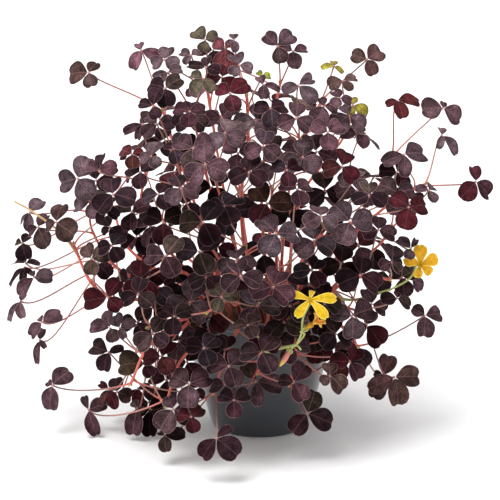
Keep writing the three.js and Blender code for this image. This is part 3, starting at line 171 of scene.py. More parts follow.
# Leafy stems: name, root, radius, and path as (pixel x, pixel y, depth) from low to tip
STEMS = [
    ("stem_left_far", (-36, -20), 1.7, ((120, 300, -62), (93, 285, -66), (74, 246, -60))),
    ("stem_left_node", (-40, -4), 1.5, ((120, 270, -25), (92, 230, -30), (90, 200, -28))),
    ("stem_left_star", (-32, 6), 1.5, ((160, 240, -20), (141, 203, -40), (147, 172, -36))),
    ("stem_left_back", (-38, 14), 1.5, ((130, 250, 30), (112, 205, 32))),
    ("stem_low_left", (-34, -32), 1.6, ((180, 330, -72), (150, 345, -78), (131, 383, -68))),
    ("stem_low_left_mid", (-28, -38), 1.5, ((190, 318, -78), (160, 322, -84), (122, 345, -80))),
    ("stem_low_left_front", (-20, -42), 1.5, ((205, 335, -78), (180, 362, -82), (166, 405, -76))),
    ("stem_upper_left_a", (-24, 16), 1.5, ((190, 190, 10), (163, 112, 4))),
    ("stem_upper_left_b", (-16, 8), 1.5, ((210, 190, -12), (192, 112, -16))),
    ("stem_upper_left_c", (-22, -6), 1.4, ((196, 220, -40), (176, 160, -50))),
    ("stem_top_a", (-10, 14), 1.4, ((222, 180, 0), (208, 92, 2))),
    ("stem_top_b", (-4, 0), 1.8, ((243, 235, -12), (242, 185, -14), (248, 140, -14), (247, 98, -12))),
    ("stem_top_c", (6, 10), 1.4, ((262, 180, 6), (280, 84, 8))),
    ("stem_top_d", (12, 18), 1.4, ((280, 190, 18), (306, 130, 20), (322, 100, 16))),
    ("stem_upper_right_a", (20, 12), 1.5, ((300, 200, 4), (342, 140, 0), (350, 122, 0))),
    ("stem_upper_right_b", (32, 14), 1.7, ((340, 240, 6), (377, 190, 4), (392, 155, 2))),
    ("stem_right_far", (38, 6), 1.5, ((350, 240, -18), (395, 200, -22), (425, 184, -20))),
    ("stem_right_mid", (40, -6), 1.5, ((350, 270, -40), (378, 246, -46), (392, 228, -44))),
    ("stem_right_node", (38, -18), 1.5, ((340, 285, -66), (362, 277, -72), (392, 280, -62))),
    ("stem_right_low", (34, -28), 1.5, ((335, 305, -78), (360, 312, -80), (382, 326, -72))),
    ("stem_low_right", (27, -36), 1.5, ((315, 308, -74), (342, 326, -78), (356, 346, -74))),
    ("stem_low_front_right", (16, -42), 1.5, ((290, 325, -76), (296, 352, -77), (290, 384, -70))),
    ("stem_front_right", (8, -38), 1.5, ((268, 318, -74), (262, 338, -77), (258, 372, -70))),
    ("stem_front_left", (-4, -42), 1.5, ((240, 325, -74), (228, 348, -77), (214, 392, -68))),
    ("stem_front_mid", (-12, -34), 1.5, ((235, 305, -70), (226, 300, -92), (208, 312, -102))),
    ("stem_centre_a", (-14, -18), 1.5, ((225, 270, -50), (206, 240, -78))),
    ("stem_centre_b", (2, -24), 1.5, ((250, 280, -58), (246, 248, -88))),
    ("stem_centre_c", (16, -24), 1.5, ((285, 280, -58), (290, 262, -86))),
    ("stem_centre_d", (24, -12), 1.5, ((310, 260, -50), (322, 224, -74))),
    ("stem_centre_e", (8, -10), 1.5, ((270, 240, -46), (272, 190, -64))),
    ("stem_centre_f", (-8, -12), 1.4, ((230, 230, -44), (214, 176, -58))),
    ("stem_centre_g", (14, 0), 1.4, ((286, 210, -30), (300, 140, -36))),
    ("stem_left_inner", (-26, -24), 1.5, ((195, 280, -60), (164, 262, -84))),
    ("stem_back_left", (-28, 28), 1.5, ((190, 260, 60), (160, 215, 84))),
    ("stem_back_mid", (-2, 34), 1.5, ((246, 240, 56), (240, 190, 84))),
    ("stem_back_right", (28, 28), 1.5, ((310, 250, 58), (340, 210, 82))),
    ("stem_back_low_left", (-14, 42), 1.5, ((210, 300, 78), (180, 310, 100), (160, 330, 100))),
    ("stem_back_low_right", (16, 42), 1.5, ((290, 300, 78), (320, 310, 100), (345, 330, 98))),
]

# A leafless stalk left on the far left stem
BARE_STALK = {"stem": "stem_left_far", "path": ((62, 234, -56), (30, 210, -46), (14.5, 201.5, -42))}
BARE_RADIUS = 0.9
BARE_START = 0.3

# Flowers: place, facing as (right, up, toward the camera), and petals by their turns and shares of the length
PETAL_TUBE = 6
PETAL_STALK = 1.1
PETAL_STALK_MARGIN = 0.4
FLOWERS = [
    {"name": "flower_front", "at": (309.9, 300, -118), "facing": (0, 0.3, 0.95),
     "length": 16, "droop": -12, "fold": 10,
     "turns": (2, 76, 163, 233, 310), "shares": (1.1, 0.62, 0.86, 0.95, 1.06)},
    {"name": "flower_right", "at": (419.9, 264.5, -60), "facing": (0.1, -0.12, 0.98),
     "length": 13.4, "droop": -16, "fold": 10,
     "turns": (24, 92, 157, 255, 323), "shares": (0.98, 1.05, 0.92, 0.7, 0.76)},
    {"name": "flower_wilted", "at": (311, 325, -112), "facing": (0.72, 0.5, 0.45),
     "length": 10, "droop": -60, "fold": 30,
     "turns": (10, 82, 154, 226, 298), "shares": (1, 0.75, 0.95, 0.7, 0.85)},
]
BUD = {"from": (290.3, 350.4, -99), "to": (279.8, 366.4, -103)}
BUD_RADII = (0.8, 1.7, 1.9, 1.4, 0.5)
CALYX_GAP = 0.4

# Flower stalks: root, seen path, and side stalks with what each carries
FLOWER_STALKS = [
    {"name": "flower_stalk_front", "root": (8, -29),
     "path": ((256, 322, -76), (264, 350, -86), (281, 348, -96), (297, 345, -102)),
     "sides": [
         {"path": ((296, 345.5, -102), (301.5, 333, -108), (303, 318, -112)), "end": "flower_front"},
         {"path": ((296, 345.5, -102), (304.5, 334, -106)), "end": "flower_wilted"},
         {"path": ((294, 345.5, -101), (292.2, 347.8, -99.6)), "end": "bud"},
         {"path": ((297, 345, -102), (301.2, 350, -103)), "end": None},
     ]},
    {"name": "flower_stalk_right", "root": (31, -12),
     "path": ((352, 300, -46), (390, 290, -48)),
     "sides": [{"path": ((389, 290.5, -48), (410, 278, -47)), "end": "flower_right"}]},
]

# Leaves read one by one: hub pixel, leaflets as (picture angle, pixels, width share), lean, sink, tone
READ_LEAVES = [
    # Upper left
    (88.5, 72.5, ((177, 21), (60, 14), (-80, 16)), 20, 0, "brown"),
    (141, 50, ((240, 22, 0.8), (-18, 24, 0.6), (110, 8)), 25, 0, "rosy"),
    (153, 106, ((76, 20), (165, 15, 0.9), (-70, 15)), 20, 0, "dark"),
    (157, 124, ((8, 18), (-144, 20), (135, 14)), 20, 8, "dusk"),
    (143, 124, ((197, 22), (-115, 18), (60, 14)), 25, 18, "dusk"),
    (151, 156, ((75, 16), (190, 12), (-55, 14)), 25, 0, "mauve"),
    (132, 154, ((-88, 15), (20, 12), (150, 12)), 35, 10, "maroon"),
    (99, 171, ((20, 20), (88, 19, 0.5), (150, 14, 0.7)), 25, 6, "dusk"),
    (164.5, 59.5, ((80, 14), (197, 15), (-20, 16)), 25, 0, "mauve"),
    (168, 72, ((190, 17), (-125, 15), (20, 15)), 25, 8, "mauve"),
    (191, 55, ((155, 12), (-130, 12), (30, 10)), 30, 4, "mauve"),
    # Top
    (204.9, 40, ((133, 15), (25, 15), (-100, 13)), 25, 0, "olive"),
    (234, 40, ((95, 7), (-82, 13), (200, 8)), 35, 0, "mauve"),
    (225, 47, ((-88, 27), (150, 13), (40, 8)), 15, 12, "rose"),
    (206, 67.5, ((165, 20, 0.8), (-15, 15), (90, 12)), 30, 2, "dark"),
    (203, 78, ((-132, 19), (-48, 19, 0.9), (155, 14, 0.8)), 30, 4, "olive"),
    (239, 65, ((-14, 15), (108, 13), (232, 14)), 30, 2, "mauve"),
    (230, 93.4, ((33, 22), (-76, 19), (155, 15)), 20, 0, "wine"),
    (262, 76, ((130, 7), (4, 9), (-110, 7)), 25, 10, "lime"),
    (263, 84.5, ((-86, 16), (112, 10), (-14, 19, 0.7)), 30, 0, "dusk"),
    (278, 46, ((135, 18), (42, 21), (-78, 18)), 15, 0, "dusk"),
    (293, 51, ((-84, 20, 0.9), (8, 15), (163, 18)), 30, 6, "dusk"),
    (298.5, 85, ((28, 17, 0.8), (199, 18, 0.8), (-46, 26)), 25, 0, "mauve"),
    (189.5, 111, ((162, 17, 0.8), (14, 17, 0.8), (-95, 17)), 30, 0, "dark"),
    (173.8, 148.3, ((-75, 17), (58, 19), (150, 10)), 25, 6, "dark"),
    (270.5, 108, ((-80, 21), (165, 17), (22, 17)), 30, 4, "dark"),
    (324, 106, ((243, 21), (110, 10), (-12, 15)), 30, 4, "dusk"),
    (225, 132.5, ((220, 21), (-24, 23), (65, 16)), 35, 0, "mauve"),
    # Upper right
    (367, 59, ((160, 17), (35, 18), (-62, 18)), 15, 0, "brown"),
    (343, 80.5, ((195, 17), (18, 15, 0.8), (-50, 14)), 35, 0, "brown"),
    (334, 66, ((185, 14, 0.7), (-35, 12, 0.7), (90, 6)), 40, 8, "gold"),
    (353, 105, ((-25, 18), (-110, 12), (95, 9)), 30, 12, "gold"),
    (349.5, 115, ((-145, 25), (-35, 21), (120, 13)), 25, 0, "mauve"),
    (357, 134, ((-55, 17), (178, 18), (60, 10)), 30, 8, "dusk"),
    (397, 100, ((-160, 13, 0.9), (2, 24, 0.6), (-68, 20)), 35, 0, "maroon"),
    (443, 108, ((180, 23), (-28, 22), (80, 7)), 25, 0, "dusk"),
    (442, 135, ((-50, 25, 0.9), (-105, 16, 0.8), (90, 8)), 30, 6, "mauve"),
    (404, 154, ((-162, 25), (12, 23), (-85, 24)), 30, 0, "dusk"),
    (476, 181.5, ((92, 16, 0.8), (-130, 23), (-35, 20)), 15, 0, "wine"),
    # Left
    (29.5, 212, ((57, 18), (220, 16, 0.35), (-98, 20, 0.8)), 25, 0, "mauve"),
    (38, 227, ((62, 16), (-68, 23), (203, 13)), 25, 4, "dusk"),
    (22, 243, ((-76, 19), (170, 7), (55, 11)), 25, 0, "dark"),
    (56, 222, ((74, 20), (-34, 25), (200, 13)), 20, 6, "brown"),
    (106, 208, ((-33, 17), (240, 18, 0.9), (75, 12)), 30, 0, "dark"),
    (110, 227, ((-38, 19), (125, 13), (210, 11)), 30, 6, "dark"),
    (25.5, 263, ((175, 15, 0.5), (2, 16, 0.4), (95, 6)), 45, 0, "dusk"),
    (24, 267, ((-97, 16), (222, 25, 0.3), (-38, 14, 0.6)), 20, 8, "dark"),
    (34, 277, ((2, 20, 0.9), (232, 25, 0.7), (110, 6)), 25, 2, "mauve"),
    (20, 301, ((-86, 18), (232, 24, 0.5), (62, 9)), 25, 0, "mauve"),
    (42, 322, ((32, 22), (222, 20, 0.8), (120, 6)), 25, 0, "dusk"),
    (39.7, 340, ((256, 25, 0.55), (308, 11, 0.8), (85, 12, 0.6)), 25, 2, "dusk"),
    (52, 385, ((48, 23), (257, 26, 0.85), (150, 6)), 20, 0, "dusk"),
    (107.7, 297.5, ((187, 25), (58, 22), (-42, 19)), 10, 0, "wine"),
    (141, 279, ((95, 20, 0.9), (222, 23), (-57, 25)), 15, 0, "wine"),
    (91, 258.5, ((118, 15), (25, 21), (266, 17)), 15, 0, "brown"),
    (150, 226, ((-42, 19), (256, 22), (142, 17)), 25, 12, "dusk"),
    (98, 263, ((-48, 19), (80, 8), (200, 8)), 25, 8, "dark"),
    # Right
    (378.3, 229.8, ((86, 14), (196, 17), (-16, 20)), 25, 4, "dusk"),
    (411, 248.5, ((142, 17, 0.8), (58, 12, 0.5), (250, 12)), 25, 12, "mauve"),
    (391.8, 262.2, ((78, 18), (200, 14), (-40, 14)), 25, 4, "dusk"),
    (360.4, 275, ((200, 27), (78, 19), (-28, 25)), 20, 0, "dark"),
    (402, 277, ((-78, 21), (150, 13), (30, 14)), 20, 10, "dark"),
    (412, 275, ((-55, 19, 0.8), (160, 10), (50, 10)), 30, 18, "mauve"),
    (397, 298, ((182, 17), (-26, 17, 0.9), (85, 6)), 35, 0, "dark"),
    (425, 315.5, ((-89, 23), (143, 15), (8, 18, 0.8)), 20, 0, "dusk"),
    (352.4, 315.5, ((-86, 25), (168, 23), (22, 22)), 20, 0, "mauve"),
    (367, 325, ((-50, 26), (200, 14), (75, 15)), 20, 6, "wine"),
    (350, 351, ((-34, 25), (215, 15), (100, 14)), 25, 2, "dark"),
    (330, 376, ((-38, 21), (90, 13), (215, 12)), 20, -20, "brown"),
    (394.4, 377, ((3, 28, 0.8), (-78, 31), (203, 31, 0.8)), 15, 0, "brown"),
    (383, 376, ((72, 22), (248, 25, 0.8), (160, 10)), 10, 14, "brown"),
    # Lower left
    (119.5, 328, ((112, 14), (20, 19), (-60, 13)), 25, 0, "mauve"),
    (110, 328, ((172, 22), (106, 19, 0.8), (-70, 15)), 25, 8, "dusk"),
    (108.4, 352, ((255, 21), (160, 18), (14, 17, 0.7)), 25, 0, "dark"),
    (145, 364, ((180, 28), (70, 13), (-60, 15)), 20, 4, "black"),
    (153, 334, ((60, 20), (213, 23), (-35, 18)), 20, 0, "dusk"),
    (109, 389, ((-70, 21), (235, 20, 0.8), (150, 12, 0.5)), 25, 0, "wine"),
    (88.5, 410, ((-72, 28, 0.55), (25, 19), (112, 14, 0.5)), 25, 0, "dusk"),
    (138, 388, ((270, 20), (12, 13, 0.7), (220, 20, 0.35)), 25, 6, "wine"),
    (137, 408, ((258, 29, 0.85), (-20, 8), (120, 8)), 15, -20, "dusk"),
    (150, 409, ((-92, 29, 0.9), (200, 15), (40, 14)), 15, 10, "black"),
    (173, 409, ((234, 26), (-18, 25), (112, 14)), 20, 0, "dusk"),
    (164, 435.5, ((8, 22, 0.8), (-82, 17), (140, 6)), 30, 0, "dark"),
    # Over the pot
    (216.2, 437.8, ((-36, 29), (229, 26, 0.75), (38, 19, 0.6)), 20, -36, "dark"),
    (307, 413.5, ((-20, 28), (232, 25, 0.9), (68, 24)), 10, 0, "dark"),
    (294, 382, ((58, 21), (-60, 22), (170, 16)), 20, 6, "dusk"),
    (256, 381, ((-12, 28), (-85, 26, 0.7), (120, 20)), 20, 4, "dusk"),
]

# Leaves read as a whole: hub pixel, picture angle, length, lean, sink, tone
SEEN_LEAVES = [
    # Upper part
    (77.5, 178.5, 190, 17, 10, 0, "mauve"),
    (213, 50, 40, 13, 45, 8, None),
    (190, 116, -30, 14, 20, 16, "dark"),
    (262, 161, -85, 15.5, 40, 0, "dusk"),
    (303, 157, 85, 14, 10, 0, "mauve"),
    (316.5, 151.5, -15, 16.5, 25, 10, "dark"),
    (256, 120, -45, 17, 30, 8, "mauve"),
    (280, 149, 130, 14, 40, 12, "dusk"),
    (193, 148, 150, 15.5, 25, 2, "dusk"),
    (189, 150, -140, 13, 20, 14, "black"),
    (340, 98, 120, 9, 40, 6, None),
    (429, 190, -60, 10, 45, -8, None),
    (397.5, 193, 20, 15.5, 25, 0, "dusk"),
    (409, 203, 15, 13, 20, 10, "dark"),
    (409, 207, -100, 15.5, 25, 2, "wine"),
    (355, 178, 75, 12, 35, 0, "mauve"),
    (357, 190, 180, 15.5, 45, 10, "dusk"),
    (369, 195, 200, 13, 40, 2, None),
    (391, 197, 185, 15, 45, 16, None),
    # Left
    (90, 202, 190, 14, 40, 4, None),
    (113, 194, -10, 16, 30, 10, "dark"),
    (158.5, 194, -50, 12.5, 35, 0, None),
    (163, 222, -90, 15.5, 20, 4, "black"),
    (150, 270, 80, 14, 30, 10, None),
    # Centre
    (205, 164, -20, 16.5, 15, 0, "dusk"),
    (193, 164, 125, 14, 20, 8, "dark"),
    (181, 188, 110, 13.5, 30, 2, "dusk"),
    (224, 206, 175, 16, 45, 0, "dark"),
    (203, 222, 180, 17, 20, 8, "black"),
    (232, 212, -110, 17, 20, 12, "dark"),
    (267, 203, 125, 16.5, 20, 6, "wine"),
    (297.5, 189, -75, 13, 40, 0, "dusk"),
    (276, 233, -115, 17, 25, 0, "mauve"),
    (314, 240.5, -145, 15.5, 25, 0, "mauve"),
    (321, 216, 200, 13, 40, 4, "mauve"),
    (350, 221.5, 130, 16.5, 20, 0, "mauve"),
    (328, 229, -60, 14, 20, 10, "dusk"),
    (199, 251.5, 50, 16.5, 15, 0, "dark"),
    (236.5, 260, 90, 14, 45, 4, "mauve"),
    (165.5, 255.5, 55, 15.5, 15, 4, "dusk"),
    (238, 153, -100, 12.5, 20, 14, None),
    (249, 172, 200, 14, 30, 10, None),
    (190, 302, 75, 17, 15, 0, "mauve"),
    (221.5, 297, 130, 11, 25, 4, "olive"),
    (240.5, 275.5, -15, 15, 35, 4, "dusk"),
    (257.5, 305.5, 120, 16.5, 15, 0, "mauve"),
    (273.5, 286.5, -40, 16.5, 35, 4, "rosy"),
    (309, 285, 20, 15.5, 30, 16, "dark"),
    (293, 346.5, 130, 12.5, 30, 12, "dusk"),
    (316, 347.5, -95, 12, 30, 6, "wine"),
    (210.5, 315, -40, 15.5, 25, 8, "wine"),
    (179, 341, -100, 14.5, 20, 4, "dusk"),
    (225, 350, 80, 12.5, 20, 8, "wine"),
    (264, 340, 95, 12.5, 20, 6, "wine"),
    (248, 325, 45, 11, 45, 10, "brown"),
    # Second layer
    (137, 322, -60, 13, 20, 10, None),
    (136, 237, 200, 15, 20, 10, None),
    (325, 190, 100, 16, 20, 10, None),
    (257, 254, 40, 15, 20, 14, "dark"),
    (96, 180, -20, 14, 20, 12, None),
    (222, 118, -60, 15, 30, 14, None),
    (296, 118, 200, 13, 25, 12, "dusk"),
    (132, 212, 150, 14, 25, 14, None),
    (328, 132, 30, 13, 25, 12, "rosy"),
    (341, 263, 80, 15, 25, 14, None),
    (336, 334, -20, 14, 20, 14, "dark"),
    (165, 88, 160, 14, 20, 12, None),
    (187, 362, 60, 15, 20, 14, "dark"),
    (342, 166, 190, 14, 25, 14, None),
    (149, 402, -160, 13, 20, 6, None),
    (161, 356, -60, 14, 20, 14, None),
    (222, 77, 70, 12, 25, 18, None),
    (183, 205, -40, 14, 20, 14, "dark"),
    (206, 277, 200, 13, 20, 12, None),
    (397, 172, -60, 13, 25, 14, None),
    (290, 211, 80, 14, 20, 16, "black"),
    (117, 392, 220, 12, 20, 10, None),
    (257, 146, 200, 13, 20, 16, None),
    (359, 246, 170, 14, 20, 14, None),
    (372, 304, -20, 13, 20, 14, None),
    # Lower part
    (350, 362, -60, 14, 20, 6, "wine"),
    (191, 417, -75, 11, 20, 4, "wine"),
    (384, 270, 130, 16.5, 10, 8, "dark"),
    (335, 358, -80, 16.5, 20, 8, "wine"),
    (166, 380, -80, 14, 20, 8, "dark"),
    (189, 384, 150, 16.5, 25, 4, "dusk"),
    (200, 387, -90, 9, 30, 10, "dark"),
    (229, 366, 170, 15.5, 30, 6, "dusk"),
    (261.5, 352, -60, 16, 30, 2, "dusk"),
    (234, 400, -90, 12.5, 30, -20, "dark"),
    (225, 385, -60, 12.5, 30, -10, "dusk"),
    # Darker leaves between the others, whose dark and black tones are partly painted shade inside the crown
    (284, 322, 100, 14, 25, 8, "dark"),
    (306, 334, 40, 13, 25, 12, "black"),
    (272, 333, 200, 12, 25, 12, "dark"),
    (327, 320, 150, 13, 25, 12, "black"),
    (296, 306, 200, 14, 25, 22, "black"),
    (212, 335, 60, 13, 25, 12, "dark"),
    (244, 290, 20, 14, 25, 22, "black"),
    (318, 300, -30, 13, 25, 20, "black"),
    (312, 270, 60, 13, 25, 12, "dark"),
    (218, 246, -20, 12, 25, 12, "black"),
    (212, 187, -60, 14, 30, 8, "black"),
    (160, 142, 200, 13, 25, 8, "dark"),
    (140, 172, -90, 12, 30, 10, "dark"),
    (281, 170, -80, 12, 30, 8, "black"),
    (112, 246, -60, 12, 25, 8, "dark"),
    (190, 330, 20, 13, 25, 10, "black"),
    (204, 348, -70, 13, 25, 8, "black"),
    (155, 289, 200, 14, 25, 6, "dark"),
    (170, 298, 60, 14, 25, 8, "black"),
    (153, 308, -30, 13, 25, 8, "dark"),
    (174, 316, 150, 13, 25, 8, "dark"),
    (186, 283, 20, 13, 25, 12, "black"),
    (138, 294, 80, 13, 25, 10, "dark"),
    (128, 282, -100, 13, 25, 12, "dark"),
    (176, 270, 100, 13, 25, 12, "black"),
]

radians = math.radians


def add(a, b):
    return (a[0] + b[0], a[1] + b[1], a[2] + b[2])


def sub(a, b):
    return (a[0] - b[0], a[1] - b[1], a[2] - b[2])


def mul(a, s):
    return (a[0] * s, a[1] * s, a[2] * s)


def dot(a, b):
    return a[0] * b[0] + a[1] * b[1] + a[2] * b[2]


def cross(a, b):
    return (a[1] * b[2] - a[2] * b[1], a[2] * b[0] - a[0] * b[2], a[0] * b[1] - a[1] * b[0])


def size(a):
    return math.sqrt(dot(a, a))


def unit(a):
    return mul(a, 1 / size(a))


def weigh(a, s, b, t):
    """a times s plus b times t."""
    return add(mul(a, s), mul(b, t))


def mix(a, b, t):
    return weigh(a, 1 - t, b, t)


def turned(a, b, degrees):
    """Direction a turned by an angle toward direction b."""
    return weigh(a, math.cos(radians(degrees)), b, math.sin(radians(degrees)))


DRAW_FACTOR = 16807
DRAW_LIMIT = 2147483647


def seeded(seed):
    """Draws between 0 and 1 that are the same on every run."""
    state = [seed]

    def draw():
        state[0] = (state[0] * DRAW_FACTOR) % DRAW_LIMIT
        return state[0] / DRAW_LIMIT

    return draw


def vary(draw, trait):
    """Draws a value of a trait, which has a least value and a span."""
    least, span = trait
    return least + span * draw()


# Line of sight
VIEW_RIGHT = (1.0, 0.0, 0.0)
VIEW_UP = (0.0, math.sin(radians(VIEW_ELEVATION)), math.cos(radians(VIEW_ELEVATION)))
VIEW_FORWARD = (0.0, VIEW_UP[2], -VIEW_UP[1])
VIEW_BACK = mul(VIEW_FORWARD, -1)
VIEW_ORIGIN = add(VIEW_TARGET, mul(VIEW_FORWARD, -VIEW_DISTANCE))


def sight_line(x, y):
    offset = weigh(VIEW_RIGHT, (x - CENTRE_PIXEL) * MM_PER_PIXEL, VIEW_UP, (CENTRE_PIXEL - y) * MM_PER_PIXEL)
    return add(mul(VIEW_FORWARD, VIEW_DISTANCE), offset)


def seen_at(x, y, depth):
    """Point seen at a pixel, at the given depth along +Y."""
    ray = sight_line(x, y)
    return add(VIEW_ORIGIN, mul(ray, (depth - VIEW_ORIGIN[1]) / ray[1]))


def crown_depth(x, y):
    """Depth at which the line of sight first meets the crown, or passes nearest to it."""
    ray = sight_line(x, y)
    start = sub(VIEW_ORIGIN, CROWN_CENTRE)
    way = tuple(ray[i] / CROWN_RADII[i] for i in range(3))
    offset = tuple(start[i] / CROWN_RADII[i] for i in range(3))
    slope = dot(way, offset)
    inside = max(0.0, slope * slope - dot(way, way) * (dot(offset, offset) - 1))
    return VIEW_ORIGIN[1] + (ray[1] * (-slope - math.sqrt(inside))) / dot(way, way)


def front_depth(x, y):
    """Depth of the foremost foliage at a pixel: the crown's, or that of leaves in front of the pot."""
    depth = crown_depth(x, y)
    point = seen_at(x, y, depth)
    hanging = point[2] < HANGING_BELOW and abs(point[0]) < HANGING_WITHIN
    return min(depth, HANGING_DEPTH) if hanging else depth


def steps_in(here, after, spacing):
    """Number of steps of about the given spacing between two points."""
    return max(1, math.floor(size(sub(after, here)) / spacing + 0.5))


def smooth_path(points, spacing):
    """Smooth curve through points, sampled at about the given spacing."""
    last = len(points) - 1
    tangents = [unit(sub(points[min(last, i + 1)], points[max(0, i - 1)])) for i in range(last + 1)]
    samples = [points[0]]
    for i in range(last):
        span = size(sub(points[i + 1], points[i]))
        steps = steps_in(points[i], points[i + 1], spacing)
        for s in range(1, steps + 1):
            t = s / steps
            t2 = t * t
            t3 = t2 * t
            start = weigh(points[i], 2 * t3 - 3 * t2 + 1, tangents[i], span * (t3 - 2 * t2 + t))
            end = weigh(points[i + 1], 3 * t2 - 2 * t3, tangents[i + 1], span * (t3 - t2))
            samples.append(add(start, end))
    return samples


def along_segments(path, spacing):
    """Points along straight segments, at about the given spacing."""
    points = [path[0]]
    for here, after in zip(path, path[1:]):
        steps = steps_in(here, after, spacing)
        points += [mix(here, after, s / steps) for s in range(1, steps + 1)]
    return points


def bezier(p, count):
    """Points on the curve of four control points."""
    samples = []
    for i in range(count + 1):
        t = i / count
        s = 1 - t
        head = weigh(p[0], s * s * s, p[1], 3 * s * s * t)
        samples.append(add(head, weigh(p[2], 3 * s * t * t, p[3], t * t * t)))
    return samples


class Space:
    """Space already taken, as balls with an owner each."""

    def __init__(self):
        self.balls = np.zeros((MOST_BALLS, 5))
        self.count = 0

    def take(self, balls, owner):
        for ball in balls:
            self.balls[self.count] = (*ball, owner)
            self.count += 1

    def take_path(self, path, radius, owner, spacing=BALL_SPACING):
        self.take([(*point, radius) for point in along_segments(path, spacing)], owner)

    def clear(self, balls, owner=None):
        """Whether balls stand clear of all others, apart from those of the same owner."""
        mine = np.array(balls)
        others = self.balls[: self.count]
        middle = mine[:, :3].mean(axis=0)
        reach = np.sqrt(((mine[:, :3] - middle) ** 2).sum(axis=1)).max() + FARTHEST_BALL
        near = ((others[:, :3] - middle) ** 2).sum(axis=1) < reach * reach
        if owner is not None:
            near &= others[:, 4] != owner
        others = others[near]
        if not len(others):
            return True
        limit = mine[:, None, 3] + others[None, :, 3] + CLEARANCE
        apart = ((mine[:, None, :3] - others[None, :, :3]) ** 2).sum(axis=2)
        return not (apart < limit * limit).any()


space = Space()


def pot_radius_at(z):
    if z > POT_NECK_HEIGHT:
        return POT_RIM_RADIUS
    return POT_BASE_RADIUS + ((POT_NECK_RADIUS - POT_BASE_RADIUS) * z) / POT_NECK_HEIGHT


def clear_of_pot(balls):
    """Whether balls stand clear of the ground and of the pot with its soil."""
    for x, y, z, radius in balls:
        beside = math.hypot(x, y) > pot_radius_at(z) + radius + CLEARANCE
        if z < GROUND_CLEARANCE or not (beside or z > POT_HEIGHT + radius + CLEARANCE):
            return False
    return True


def blade_axes(leaf):
    """Directions, length and width of the leaflets of a leaf, or of the petals of a flower."""
    side = cross(leaf["normal"], leaf["heading"])
    turns = leaf.get("turns", LEAFLET_TURNS)
    even = [1] * len(turns)
    axes = []
    for turn, share, width in zip(turns, leaf.get("shares", even), leaf.get("widths", even)):
        flat = turned(leaf["heading"], side, turn)
        along = turned(flat, leaf["normal"], -leaf["droop"])
        across = cross(leaf["normal"], flat)
        axes.append({"along": along, "across": across, "face": cross(along, across),
                     "length": leaf["length"] * share, "width": width})
    return axes


def blade_balls(leaf):
    balls = [(*leaf["hub"], leaf["length"] * HUB_BALL)]
    fold = radians(leaf["fold"])
    for axes in blade_axes(leaf):
        for a, b in BLADE_SPOTS:
            spread = b * axes["width"] * math.cos(fold)
            flat = weigh(axes["along"], a, axes["across"], spread)
            offset = add(flat, mul(axes["face"], abs(b) * math.sin(fold)))
            balls.append((*add(leaf["hub"], mul(offset, axes["length"])), axes["length"] * SPOT_BALL))
    return balls


def facing_normal(lean, side_lean):
    return unit(add(turned(VIEW_BACK, VIEW_UP, lean), mul(VIEW_RIGHT, side_lean)))


def flat_direction(normal, angle):
    """Direction in a leaf's plane that is seen at an angle in the picture."""
    pictured = turned(VIEW_RIGHT, VIEW_UP, angle)
    facing = dot(VIEW_FORWARD, normal)
    slide = -dot(pictured, normal) / facing if abs(facing) > LEAST_FACING else 0
    slid = add(pictured, mul(VIEW_FORWARD, slide))
    return unit(sub(slid, mul(normal, dot(slid, normal))))


def part_leaflets(lobes):
    """Makes neighbouring leaflets narrower where they stand close together."""
    for k, lobe in enumerate(lobes):
        after = lobes[(k + 1) % len(lobes)]
        gap = (after["turn"] - lobe["turn"] + 360) % 360
        spread = LEAFLET_SPREAD * (lobe["width"] + after["width"])
        share = min(1, (LEAFLET_PARTING * gap) / spread)
        lobe["width"] *= share
        after["width"] *= share


def whole_leaf(hub, normal, droop, fold, angle, length):
    """Leaf of three like leaflets, the first seen at an angle in the picture."""
    return {"hub": hub, "normal": normal, "heading": flat_direction(normal, angle),
            "length": length, "droop": droop, "fold": fold}


def read_leaf(hub, normal, droop, fold, leaflets):
    """Leaf with three leaflets read one by one."""
    heading = flat_direction(normal, leaflets[0][0])
    side = cross(normal, heading)
    scale = (MM_PER_PIXEL * dot(sub(hub, VIEW_ORIGIN), VIEW_FORWARD)) / VIEW_DISTANCE
    lobes = []
    for angle, pixels, *share in leaflets:
        flat = flat_direction(normal, angle)
        turn = (math.degrees(math.atan2(dot(flat, side), dot(flat, heading))) + 360) % 360
        along = turned(flat, normal, -droop)
        shown = size(sub(along, mul(VIEW_FORWARD, dot(along, VIEW_FORWARD))))
        length = min(LEAFLET_MOST, max(LEAFLET_LEAST, (pixels * scale) / shown))
        lobes.append({"turn": turn, "length": length, "width": share[0] if share else 1})
    lobes.sort(key=lambda lobe: lobe["turn"])
    part_leaflets(lobes)
    length = max(lobe["length"] for lobe in lobes)
    return {
        "hub": hub, "normal": normal, "heading": heading, "length": length, "droop": droop, "fold": fold,
        "turns": [lobe["turn"] for lobe in lobes],
        "shares": [lobe["length"] / length for lobe in lobes],
        "widths": [lobe["width"] for lobe in lobes],
    }


def petiole_curve(node, leaf, bow):
    """Control points of a leaf stalk, from a node of a stem to the underside of a leaf."""
    start = node["point"]
    reach = size(sub(leaf["hub"], start))
    outward = unit(add(mul(node["direction"], STEM_PULL), unit(sub(leaf["hub"], start))))
    first = add(start, mul(outward, reach * bow))
    last = sub(leaf["hub"], mul(leaf["normal"], reach * bow))
    return [start, first, last, leaf["hub"]]


def petiole_balls(path):
    balls = []
    for point in along_segments(path, BALL_SPACING):
        if size(sub(point, path[0])) >= FREE_AT_STEM and size(sub(point, path[-1])) >= FREE_AT_BLADE:
            balls.append((*point, PETIOLE_RADIUS + PETIOLE_MARGIN))
    return balls


